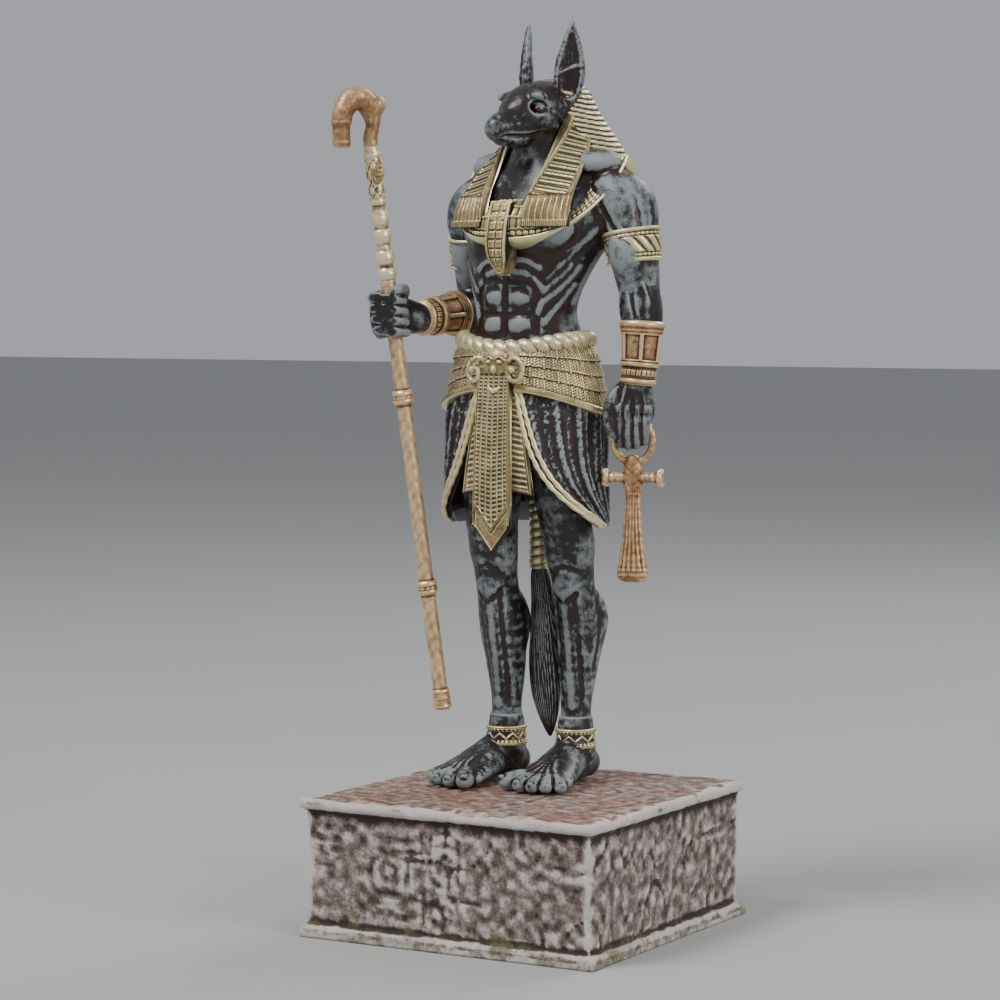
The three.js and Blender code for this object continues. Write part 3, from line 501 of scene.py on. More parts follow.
def black_paint(name, dust=1.0, gloss=0.3):
    """Glossy black with a painted warm brown shade in the hollows and grey dry brushing on what stands out."""
    paint = Paint(name)
    broad, fine = paint.attribute("broad"), paint.attribute("fine")
    patches = paint.noise(9, 5, 0.65)
    speckle = paint.noise(0.9, 3, 0.7)
    height = paint.math("ADD", paint.span(broad, -0.4, 0.5), paint.span(fine, -0.06, 0.06, -0.3, 0.3))
    height = paint.math("ADD", height, paint.span(patches, 0.3, 0.7, -0.22, 0.22))
    height = paint.math("ADD", height, paint.span(speckle, 0.3, 0.7, -0.14, 0.14))
    # The lowest stop paints a warm brown shade into the hollows; the higher stops are the black paint's own colour.
    body = paint.ramp(height, [(0.12, (0.03, 0.011, 0.008)), (0.42, (0.018, 0.012, 0.011)),
                               (0.62, (0.014, 0.014, 0.016))])
    brushed = paint.ramp(height, [(0.58, 0.0), (0.98, 0.75 * dust)])
    color = paint.mix(brushed, body, (0.3, 0.33, 0.34))
    roughness = paint.span(paint.math("ADD", brushed, paint.span(patches, 0.2, 0.8, -0.1, 0.1)),
                           0, 0.8, gloss, gloss + 0.25)
    return paint.finish(color, roughness, 0.0, speckle, 0.05)


def gold_paint(name, dark, middle, light, shine=0.55, wash=0.5):
    """Antique metal: a dark wash in the hollows and pale rubbed edges."""
    paint = Paint(name)
    broad, fine = paint.attribute("broad"), paint.attribute("fine")
    patches = paint.noise(7, 5, 0.65)
    speckle = paint.noise(0.8, 3, 0.7)
    height = paint.math("ADD", paint.span(broad, -0.3, 0.3), paint.span(fine, -0.08, 0.08, -0.3, 0.3))
    height = paint.math("ADD", height, paint.span(patches, 0.3, 0.7, -0.2, 0.2))
    height = paint.math("ADD", height, paint.span(speckle, 0.3, 0.7, -0.12, 0.12))
    color = paint.ramp(height, [(0.1, dark), (wash, middle), (0.95, light)])
    tint = paint.ramp(paint.noise(16, 3, 0.5), [(0.42, (1.0, 1.0, 1.0)), (0.62, (0.92, 0.98, 0.84)),
                                                (0.75, (1.0, 0.88, 0.8))])
    node = paint.node("ShaderNodeMix", data_type="RGBA", blend_type="MULTIPLY")
    node.inputs[0].default_value = 1
    paint.links.new(color, node.inputs[6])
    paint.links.new(tint, node.inputs[7])
    metal = paint.span(height, 0.1, 0.7, 0.15, shine)
    roughness = paint.span(height, 0.0, 1.0, 0.62, 0.34)
    return paint.finish(node.outputs[2], roughness, metal, speckle, 0.06)


def eye_paint():
    """Dull red, darker towards the lids."""
    paint = Paint("eye")
    color = paint.ramp(paint.attribute("broad"), [(0.0, (0.06, 0.012, 0.01)), (0.2, (0.3, 0.05, 0.035))])
    return paint.finish(color, 0.2)


def stone_paint():
    """Weathered stone: mauve-grey with pale edges, brown stain on top and moss in patches."""
    paint = Paint("stone")
    broad, fine = paint.attribute("broad"), paint.attribute("fine")
    patches = paint.noise(26, 6, 0.62)
    grit = paint.noise(1.6, 4, 0.75)
    spots = paint.noise(5, 5, 0.7)
    height = paint.math("ADD", paint.span(broad, -0.35, 0.35), paint.span(fine, -0.1, 0.1, -0.25, 0.25))
    height = paint.math("ADD", height, paint.span(grit, 0.3, 0.7, -0.25, 0.25))
    height = paint.math("ADD", height, paint.span(spots, 0.3, 0.7, -0.2, 0.2))
    stone = paint.ramp(height, [(0.05, (0.035, 0.022, 0.018)), (0.4, (0.16, 0.115, 0.1)),
                                (0.62, (0.29, 0.235, 0.21)), (0.95, (0.6, 0.55, 0.5))])
    facing = paint.node("ShaderNodeNewGeometry").outputs["Normal"]
    split = paint.node("ShaderNodeSeparateXYZ")
    paint.links.new(facing, split.inputs[0])
    upward = paint.span(split.outputs["Z"], 0.5, 0.95)
    stain = paint.math("MULTIPLY", upward, paint.span(patches, 0.35, 0.65))
    stained = paint.mix(stain, stone, paint.ramp(height, [(0.2, (0.1, 0.035, 0.02)), (0.6, (0.3, 0.15, 0.1)),
                                                          (0.95, (0.55, 0.42, 0.33))]))
    place = paint.node("ShaderNodeSeparateXYZ")
    paint.links.new(paint.place(), place.inputs[0])
    low = paint.span(place.outputs["Z"], 0.02, 0.0, 0.0, 0.12)
    moss = paint.ramp(paint.math("ADD", paint.noise(11, 6, 0.7), low), [(0.6, 0.0), (0.7, 0.75)])
    green = paint.ramp(grit, [(0.3, (0.03, 0.035, 0.012)), (0.7, (0.22, 0.2, 0.07))])
    color = paint.mix(moss, stained, green)
    return paint.finish(color, 0.85, 0.0, grit, 0.35)


# Skin: torso and arms

# Level sections of the torso, as (height, x, y, half width, half depth, turn)
CHEST_SECTIONS = [(-5, 203, 30.5, 19.6), (-5.4, 211, 30.5, 18.6), (-5.4, 219, 25, 15.6), (-5, 226, 15.5, 13.4),
                  (-4.4, 233, 11, 12), (-4, 242, 9.6, 10.4)]
TORSO = [(150, -7, 12, 25, 17, 0), (162, -6.8, 11, 23.5, 15, 0), (173, -5.8, 9.4, 20.2, 13.4, 2),
         (183, -4.8, 10.2, 22.5, 14.8, 4), (193, -3.6, 12, 27, 17, 7)]
TORSO += [(height, *in_plan(CHEST, 0, back, height)[:2], wide, deep, CHEST[2])
          for back, height, wide, deep in CHEST_SECTIONS]
TORSO_FINE = spline(TORSO, 200)


def on_torso(angle, height, out=0.0):
    """The point of the torso's skin at an angle from its front, to the left, and a height."""
    x, y, wide, deep, turn = (np.interp(height, TORSO_FINE[:, 0], TORSO_FINE[:, k]) for k in range(1, 6))
    return in_plan((x, y, turn), (wide + out) * math.sin(angle * DEGREE),
                   -(deep + out) * math.cos(angle * DEGREE), height)


def torso_column(clay):
    spans, x, y, z = clay.window((-99, -99, -99), (99, 99, 999))
    heights = clay.axes[2]
    cx, cy, wide, deep, turn = (np.interp(heights, TORSO_FINE[:, 0], TORSO_FINE[:, k]).astype(np.float32)
                                for k in range(1, 6))
    c, s = np.cos(turn * DEGREE), np.sin(turn * DEGREE)
    left = ((x - cx) * c - (y - cy) * s) / wide
    back = ((x - cx) * s + (y - cy) * c) / deep
    distance = (np.sqrt(left**2 + back**2) - 1) * np.minimum(wide, deep)
    clay.add(spans, np.maximum(distance, z - TORSO_FINE[-1, 0]).astype(np.float32))


# Lines on the torso as [angle from the front, height], with a width and how far each stands out
BELLY_LINES = [
    ([(0, 194), (-1, 186), (-2, 178), (-2, 166)], 1.5, -1.3),
    ([(-30, 184.5), (-12, 184.8), (-2, 183.6), (12, 184.4), (28, 182.6), (34, 178)], 1.1, -0.9),
    ([(-34, 172.5), (-15, 172.2), (0, 172), (15, 172.2), (32, 172.5)], 1.1, -0.8),
    ([(24, 186), (31, 180), (33, 174), (31, 166)], 1.3, -1.1),
    ([(-26, 186), (-36, 180), (-38, 174), (-34, 166)], 1.3, -1.1),
    ([(2, 188.5), (9, 191.5), (20, 191.3), (31, 189)], 1.6, 1.3),
    ([(7, 188.2), (20, 187), (32, 183.6), (40, 181.4)], 1.5, 1.3),
    ([(-2, 188.5), (-10, 191.5), (-22, 191), (-33, 188.5)], 1.6, 1.3),
    ([(-7, 188.2), (-22, 186.6), (-34, 183.2)], 1.5, 1.2),
    ([(40, 180.6), (49, 184), (57, 187), (62, 190)], 1.4, 1.1),
    ([(33, 172.4), (43, 177.2), (56, 181), (64, 184.4), (72, 189)], 1.7, 1.4),
    ([(43, 169.8), (56, 174), (66, 178), (74, 183)], 1.7, 1.2),
    ([(40, 184.6), (48, 188.4), (56, 192.4), (62, 196)], 1.2, 0.8),
    ([(-42, 172), (-52, 177), (-62, 182), (-72, 188)], 1.7, 1.2),
    ([(-46, 181), (-56, 186), (-64, 191)], 1.4, 1.0),
    ([(52, 195), (66, 199), (80, 205)], 1.6, 0.7),
    ([(84, 178), (92, 188), (96, 200)], 3.0, 0.9),
    ([(180, 168), (180, 184), (180, 205)], 1.8, -1.3),
    ([(168, 168), (167, 182), (164, 198)], 3.4, 1.0),
    ([(192, 168), (193, 182), (196, 198)], 3.4, 1.0),
    ([(128, 196), (138, 206), (152, 212)], 3.4, 1.2),
    ([(232, 196), (222, 206), (208, 212)], 3.4, 1.2),
    ([(104, 174), (116, 186), (126, 200)], 1.6, -0.8),
    ([(256, 174), (244, 186), (234, 200)], 1.6, -0.8),
]
BELLY_LUMPS = [(-15, 178.2, 4.2, 3.1), (13, 178.2, 4.2, 3.1), (-15, 168.5, 4.2, 3.4), (14, 168.5, 4.2, 3.4)]

LEFT_SHOULDER = in_plan(CHEST, 30, -1, 217)
RIGHT_SHOULDER = in_plan(CHEST, -30, 0, 217)
LEFT_UPPER = [(*LEFT_SHOULDER, 8, 9.5), (33.8, 13.5, 211, 10.2, 10.8), (35.8, 13.5, 200, 8.8, 9.4),
              (37.4, 13.5, 189, 7.6, 8.2), (39, 13.4, 181, 6.9, 7.4)]
LEFT_FORE = [(39, 13.4, 183, 6.6, 7.0), (39.6, 13, 178, 6.9, 7.2), (40.2, 12.6, 173, 7.4, 7.6),
             (40.8, 12, 165, 6.4, 6.6), (40, 11.4, 155, 5.5, 5.8), (39.5, 11.2, 147, 4.7, 5.2)]
RIGHT_UPPER = [(*RIGHT_SHOULDER, 8, 9.5), (-36.5, 25, 210, 9.8, 10.6), (-38, 27.5, 200, 8.4, 8.8),
               (-38.5, 29, 189, 7.4, 7.9), (-38.5, 29.5, 181, 6.8, 7.2)]
RIGHT_FORE = [(-38.5, 29, 180, 6.6, 6.8), (-38.6, 25.5, 174, 7, 6.8), (-39.6, 19.5, 172.5, 7.2, 6.8),
              (-41.2, 10, 171.5, 6.2, 6), (-42.6, 0, 170.8, 5, 4.8), (-43.4, -7, 170.6, 4.8, 5.4)]
SIDEWAYS = np.array([1.0, 0.0, 0.0])


def make_torso(material):
    clay = Clay((-52, -22, 152), (50, 50, 243), 1.0)
    torso_column(clay)
    for angle, height, wide, tall in BELLY_LUMPS:
        clay.lump(on_torso(angle, height, -1.3), (wide, 2.6, tall), TORSO[2][5], 0, 1.2)
    for side in (-1, 1):
        clay.lump(in_plan(CHEST, side * 12.5, -19.5, 203), (12.5, 6, 8), CHEST[2], 8, 3)
        clay.lump(in_plan(CHEST, side * 22, -2, 226), (12, 9, 6), CHEST[2], 0, 5)
    for shoulder, side in ((LEFT_SHOULDER, 1), (RIGHT_SHOULDER, -1)):
        clay.lump(shoulder + (2.6 * side, 0, -4), (9, 10.6, 10), CHEST[2], 0, 3)
    clay.limb(LEFT_UPPER, SIDEWAYS, 1.2)
    clay.limb(RIGHT_UPPER, SIDEWAYS, 1.2)
    # Biceps and triceps
    clay.limb([(35, 7.5, 202, 4, 3.4), (36.6, 6.6, 193, 5, 4.2), (38.4, 8.6, 184, 3.4, 2.8)], SIDEWAYS, 2)
    clay.limb([(35, 19.5, 204, 4.4, 3.6), (37, 20, 195, 5, 3.8), (39, 18, 185, 3.2, 2.6)], SIDEWAYS, 2)
    clay.limb([(-37.5, 21.6, 201, 4, 3.2), (-38.4, 22, 193, 4.8, 3.8), (-38.4, 24, 184, 3.2, 2.6)], SIDEWAYS, 2)
    clay.limb([(-38, 33, 203, 4.2, 3.6), (-38.6, 35, 194, 4.8, 3.6), (-38.6, 34, 185, 3.2, 2.6)], SIDEWAYS, 2)
    for line, width, height in BELLY_LINES:
        clay.stroke([on_torso(angle, z) for angle, z in line], width, height)
    # Parting between the shoulder cap and the arm, front and back
    clay.stroke([(28, 4, 214), (33, 3.4, 204), (38.6, 4.6, 198), (43.6, 10, 199)], 1.4, -1.2)
    clay.stroke([(40, 6, 214), (42.5, 6.5, 205), (41.5, 6, 199)], 1.1, -0.7)
    clay.stroke([(44.6, 12, 216), (45.4, 12.5, 206), (44.4, 11, 199)], 1.0, -0.6)
    clay.stroke([(-46, 22, 214), (-46.4, 22, 205), (-45.4, 22, 198)], 1.2, -0.8)
    clay.stroke([(-45, 30, 213), (-46, 32, 203), (-44, 33, 196)], 1.2, -0.8)
    clay.grain(5.5, 0.16, 3, 3)
    clay.grain(1.7, 0.07, 5, 2)
    return make_piece("torso", *clay.mesh(), material, "figure", "skin", 12)


def staff_point(height):
    return STAFF_FOOT + STAFF_LEAN * (height - STAFF_FOOT[2])


def round_staff(angle, reach, rise):
    """A point round the staff at the grip: angle from the front, to the left, and a rise along it."""
    around = np.array([math.sin(angle * DEGREE), -math.cos(angle * DEGREE), 0])
    return staff_point(GRIP_HEIGHT) + around * reach + unit(STAFF_LEAN) * rise


def make_right_forearm(material):
    clay = Clay((-56, -26, 160), (-22, 40, 192), 0.6)
    clay.limb(RIGHT_FORE, np.array([-1.0, -0.3, 0.0]), 1.0)
    clay.lump((-38.5, 33, 179), (5.5, 5, 5), 0, 0, 3)
    # Palm and the back of the hand
    clay.limb([(*p, w, d) for p, w, d in (
        ((-43.6, -3, 170.7), 4.6, 5), (round_staff(-150, 6.6, 0.2), 4.4, 7), (round_staff(-110, 6.2, 0.2), 3.6, 7.6),
        (round_staff(-70, 5.4, 0), 2.6, 7.6))], UP[[0, 1, 2]] * 0 + SIDEWAYS, 1.2)
    for finger in range(4):
        rise = 5.9 - 3.9 * finger
        reach = 5.1
        stations = []
        for angle, grow in ((-100, 0.4), (-62, 1.2), (-20, 0.2), (22, 0.7), (60, 0.1), (98, -0.2)):
            spot = round_staff(angle, reach + 0.5 * grow, rise - 0.008 * angle)
            size = 1.72 + 0.22 * grow - (0.25 if angle > 80 else 0)
            stations.append((*spot, size, size * 1.08))
        clay.limb(stations, UP, 0.5)
        clay.lump(round_staff(-62, 6.5, rise + 0.4), (1.7, 1.7, 1.5), 0, 0, 0.9)
    thumb = [(*round_staff(-165, 6, 3.4), 2.7, 2.8), (*round_staff(165, 5.4, 7.2), 2.5, 2.5),
             (*round_staff(120, 5, 8.9), 2.3, 2.1), (*round_staff(78, 4.8, 8.9), 2, 1.8),
             (*round_staff(48, 4.6, 8.2), 1.3, 1.2)]
    clay.limb(thumb, UP, 0.9)
    # Tendons over the back of the hand, and the creases between the fingers
    for finger in range(4):
        rise = 5.9 - 3.9 * finger
        clay.stroke([round_staff(-66, 7.6, rise), round_staff(-110, 9.4, rise * 0.8),
                     round_staff(-150, 10.8, rise * 0.4)], 0.8, 0.55)
    for gap in range(3):
        rise = 3.95 - 3.9 * gap
        clay.stroke([round_staff(angle, 6.4, rise - 0.008 * angle) for angle in (-92, -40, 20, 70, 100)], 0.55, -0.5)
    hole = [staff_point(height) for height in (GRIP_HEIGHT - 14, GRIP_HEIGHT + 16)]
    clay.bone(*hole, (3.05, 3.05), (3.05, 3.05), SIDEWAYS, 0, True)
    clay.grain(3.5, 0.1, 11, 2)
    return make_piece("right_forearm", *clay.mesh(), material, "figure", "skin", 9)


def make_left_forearm(material):
    clay = Clay((26, -6, 118), (52, 26, 192), 0.6)
    clay.limb(LEFT_FORE, SIDEWAYS, 0.8)
    clay.lump((39, 18.6, 182), (4.6, 3.6, 4.6), 0, 0, 2.5)
    clay.stroke([(43.6, 7, 184), (45.8, 7, 178), (45, 7.4, 172)], 1.6, 0.9)
    clay.stroke([(39, 6, 185), (40, 5.4, 178), (41.6, 5.6, 171)], 1.1, -0.9)
    clay.stroke([(35, 8, 184), (34.6, 8, 177), (35.6, 8, 171)], 1.5, 0.8)
    # Back of the hand, facing the front and the left
    clay.limb([(*in_plan(HAND, 0.6, 0, 150), 4.8, 4.6), (*in_plan(HAND, 0.8, -0.4, 145.5), 5.6, 4.2),
               (*in_plan(HAND, 0.6, -0.8, 140), 6.8, 3.7), (*in_plan(HAND, 0.2, -1, 135.6), 7, 3.2)],
              in_plan((0, 0, HAND[2]), 1, 0, 0), 1.0)
    ring_top = ANKH_HEIGHT + 8
    for finger in range(4):
        across = -5.2 + 3.45 * finger
        drop = (0.8, 0, 0.3, 1.7)[finger]
        stations = [(-2.2, 5, 1.9), (-3.4, 1, 1.95), (-4, -2.6, 1.7), (-3.7, -6, 1.75), (-2.4, -9, 1.6),
                    (-0.2, -10.2, 1.5), (1.9, -8.6, 1.4), (2.4, -6, 1.2)]
        row = []
        for back, rise, size in stations:
            height = ring_top + rise + (drop if rise < -1 else 0)
            row.append((*in_plan(HAND, across * (1 - 0.012 * (5 - rise)), back, height), size, size * 0.95))
        clay.limb(row, in_plan((0, 0, HAND[2]), 1, 0, 0), 0.5)
        clay.lump(in_plan(HAND, across, -3.8, ring_top + 3.2), (1.6, 1.4, 1.9), HAND[2], 0, 1.0)
        clay.stroke([in_plan(HAND, across, -4.8, ring_top + 4), in_plan(HAND, 0.3 + across * 0.8, -4.4, 141),
                     in_plan(HAND, 0.6 + across * 0.5, -4.2, 147)], 0.75, 0.6)
    for gap in range(3):
        across = -3.5 + 3.45 * gap
        clay.stroke([in_plan(HAND, across, -3.6, ring_top + 3.4), in_plan(HAND, across, -5.4, ring_top - 2),
                     in_plan(HAND, across, -4.6, ring_top - 8)], 0.6, -0.7)
    clay.limb([(*in_plan(HAND, -5, 0.4, 145), 2.6, 2.8), (*in_plan(HAND, -7.4, -1.4, 140.6), 2.5, 2.6),
               (*in_plan(HAND, -8.4, -2.6, 136), 2.1, 2.2), (*in_plan(HAND, -7.6, -3.6, 131.6), 1.8, 1.9),
               (*in_plan(HAND, -6.4, -4.2, 128.8), 1.2, 1.3)], SIDEWAYS, 1.0)
    clay.stroke([in_plan(HAND, -5, -3.6, 146), in_plan(HAND, -5.4, -3.6, 141), in_plan(HAND, -5.6, -4, 137)], 0.9, -0.8)
    clay.grain(3.5, 0.1, 17, 2)
    return make_piece("left_forearm", *clay.mesh(), material, "figure", "skin", 9)


# Skin: legs and feet

LEFT_LEG = [(5, 12.5, 150, 12, 13.5), (6, 13, 125, 11.6, 12.6), (7.2, 15.5, 100, 9.8, 10.6),
            (8.4, 18, 84, 8.1, 8.8), (9.2, 19, 71, 7.6, 8.0), (9.6, 22.6, 57, 8.4, 8.8),
            (8.4, 23.6, 41, 6.9, 7.4), (7.6, 23.6, 28, 5.5, 5.7), (7.5, 23.5, 15, 5.5, 6.0), (7.4, 24, 5, 5.8, 7)]
RIGHT_LEG = [(-19, 12.5, 150, 12, 13.5), (-20.2, 11.5, 125, 11.6, 12.6), (-21, 11, 100, 9.8, 10.6),
             (-20.6, 12.3, 84, 8.1, 8.8), (-20, 13.6, 71, 7.6, 8.0), (-19.6, 16.6, 57, 8.4, 8.8),
             (-19.1, 18.4, 41, 6.9, 7.4), (-19, 18.3, 28, 5.5, 5.7), (-19, 18.3, 15, 5.5, 6.0),
             (-19, 18.6, 5, 5.8, 7)]


def make_leg(name, stations, inward, material):
    """A leg from the hip to above the ankle. inward is +1 where the other leg is towards +X."""
    x, y = stations[4][:2]
    clay = Clay((x - 17, y - 18, 18), (x + 17, y + 18, 149), 0.85)
    clay.limb(stations, SIDEWAYS, 0.6)
    calf_x, calf_y = stations[5][:2]
    clay.limb([(calf_x + 2.6 * inward, calf_y + 3, 66, 4, 4), (calf_x + 3.2 * inward, calf_y + 4, 57, 5, 5),
               (calf_x + 2.2 * inward, calf_y + 3, 46, 3.4, 3.6)], SIDEWAYS, 2)
    clay.limb([(calf_x - 3.2 * inward, calf_y + 2.6, 67, 4, 4), (calf_x - 3.8 * inward, calf_y + 3.4, 59, 4.8, 5),
               (calf_x - 2.8 * inward, calf_y + 2, 48, 3.2, 3.4)], SIDEWAYS, 2)
    clay.lump((x, y - 5.6, 73), (4.6, 4, 5), 0, 0, 2)
    clay.lump((x + 4.5 * inward, y - 3.4, 84), (4.2, 5, 7), 0, 0, 3)
    clay.lump((x - 4.8 * inward, y - 2.8, 87), (4, 5, 8), 0, 0, 3)
    clay.stroke([(x - 4, y - 7, 79), (x, y - 8.6, 80.4), (x + 4, y - 7, 79)], 1.3, -0.7)
    clay.stroke([(x - 4.2, y - 6.4, 70), (x, y - 8.4, 66.6), (x + 4.2, y - 6.4, 70)], 1.2, -0.8)
    shin = [(calf_x + 0.5 * inward, stations[i][1] - stations[i][4], stations[i][2]) for i in (4, 5, 6, 7)]
    clay.stroke(shin, 1.8, 0.8)
    clay.stroke([(px + 3.4 * inward, py + 1.6, pz) for px, py, pz in shin], 1.4, -0.6)
    clay.stroke([(px - 3.6 * inward, py + 1.8, pz) for px, py, pz in shin], 1.4, -0.7)
    clay.stroke([(calf_x - 6.4 * inward, calf_y - 1.5, 68), (calf_x - 7.6 * inward, calf_y - 0.6, 57),
                 (calf_x - 6 * inward, calf_y, 42)], 1.2, -0.7)
    clay.stroke([(x, y + 8, 76), (x, y + 8.4, 70)], 2.2, -1.0)
    clay.grain(5, 0.16, 23, 3)
    clay.grain(1.5, 0.08, 29, 2)
    return make_piece(name, *clay.mesh(), material, "figure", "skin", 11)


# Tips of the toes from the big toe outward, as (x, y, half width)
LEFT_TOES = [(-3.6, -8.6, 3.3), (3.2, -11.4, 2.7), (9, -12.2, 2.5), (14.2, -11, 2.4), (18.8, -7.8, 2.3)]
RIGHT_TOES = [(-17.4, -15, 3.3), (-24.2, -14.8, 2.7), (-29.4, -12.8, 2.5), (-33.8, -9.6, 2.4), (-37.2, -5.4, 2.3)]


def make_foot(name, heel, ball, ankle, toes, material):
    heel, ball = np.array([*heel, 0.0]), np.array([*ball, 0.0])
    low = np.minimum(heel, ball) - (17, 14, 0)
    high = np.maximum(heel, ball) + (17, 8, 24)
    clay = Clay(low, high, 0.65)
    run = ball - heel
    side = unit(np.cross(UP, unit(run)))

    def at(t, height):
        return (*(heel + run * t)[:2], height)

    clay.limb([(*at(0.06, 5.6), 5.6, 5.4), (*at(0.3, 8.6), 6, 7.6), (*at(0.5, 7.2), 7.2, 6.4),
               (*at(0.72, 4.8), 9, 4.8), (*at(0.92, 3.2), 10.2, 3.2), (*at(1.0, 2.6), 9.6, 2.6)], side, 1.5)
    clay.limb([(*ankle, 24, 5.4, 5.8), (*ankle, 15, 5.6, 6.2), (*(np.array(ankle) * 0.7 + (heel + run * 0.25)[:2] * 0.3), 8, 6, 7)],
              side, 2.5)
    for across in (-1, 1):
        knob = np.array([*ankle, 11.5]) + side * 5.4 * across
        clay.lump(knob, (1.8, 2.4, 2.4), 0, 0, 1.6)
    clay.stroke([(*at(-0.02, 14), ), (*at(-0.03, 9), )], 2, 0.6)
    for index, (x, y, size) in enumerate(toes):
        tip = np.array([x, y, 0.0])
        root = heel + run * 0.76 + side * 0
        fan = root * 0.42 + tip * 0.58
        knuckle = root * 0.16 + tip * 0.84
        rise = 1.25 if index else 1.05
        row = [(fan[0], fan[1], 3.6, size * 0.86, size * 1.0), (knuckle[0], knuckle[1], size * rise, size * 0.9, size * 0.92),
               (x, y, size * 0.8, size * 0.94, size * 0.82)]
        clay.limb(row, side, 0.6)
        clay.stroke([(fan[0], fan[1], 5.2), tuple(root * 0.7 + tip * 0.3 + UP * 8.4),
                     tuple(np.array([*ankle, 15.0]) * 0.7 + root * 0.3)], 1.0, 0.75)
        # Nail
        out = unit(tip - root)
        nail = tip + out * size * 0.35 + UP * size * 1.35
        clay.lump(nail, (size * 0.5, size * 0.62, size * 0.3), -math.degrees(math.atan2(out[0], -out[1])), 18, 0.1)
        clay.stroke([tip * 0.9 + root * 0.1 + UP * size * 1.9 + side * s * size * 0.5 for s in (-1, 0, 1)], 0.5, -0.4)
    for first, second in zip(toes[:-1], toes[1:]):
        middle = np.array([(first[0] + second[0]) / 2, (first[1] + second[1]) / 2, 2.4])
        back = (heel + run * 0.76) * 0.4 + middle * 0.6
        clay.stroke([middle + UP * 0.6, (back[0], back[1], 5.2)], 0.8, -1.0)
    spans, x, y, z = clay.window((-99, -99, -99), (99, 99, 99))
    clay.field[spans] = np.maximum(clay.field[spans], 0.35 - z + 0 * x + 0 * y)
    clay.grain(4, 0.14, 31, 3)
    clay.grain(1.2, 0.06, 37, 2)
    return make_piece(name, *clay.mesh(), material, "figure", "skin", 9)


# Skin: head

HEAD_SECTIONS = [(-9, 246, 5, 5), (-6.5, 246.3, 9, 8.4), (0, 246.4, 11.4, 10), (6, 246, 11.2, 10),
                 (10.6, 244.8, 10, 9.2), (14, 242.8, 7.6, 8), (17.6, 240.6, 5.6, 6.4), (22, 239.4, 4.6, 5),
                 (25.6, 238.9, 4.1, 4.4), (27.0, 238.9, 3.2, 3.3)]
EAR_SECTIONS = [(9.6, 0, 248, 3.6, 3.4), (10.4, 0, 253, 4.8, 3), (11, 0.2, 258.5, 5.6, 2.8),
                (11.3, 0.7, 265, 4.8, 2.2), (11.1, 1.5, 273, 2.5, 1.4), (10.9, 2.3, 278.2, 0.6, 0.6)]


def on_head(left, ahead, height):
    return in_plan(HEAD, left, -np.asarray(ahead, float), height)


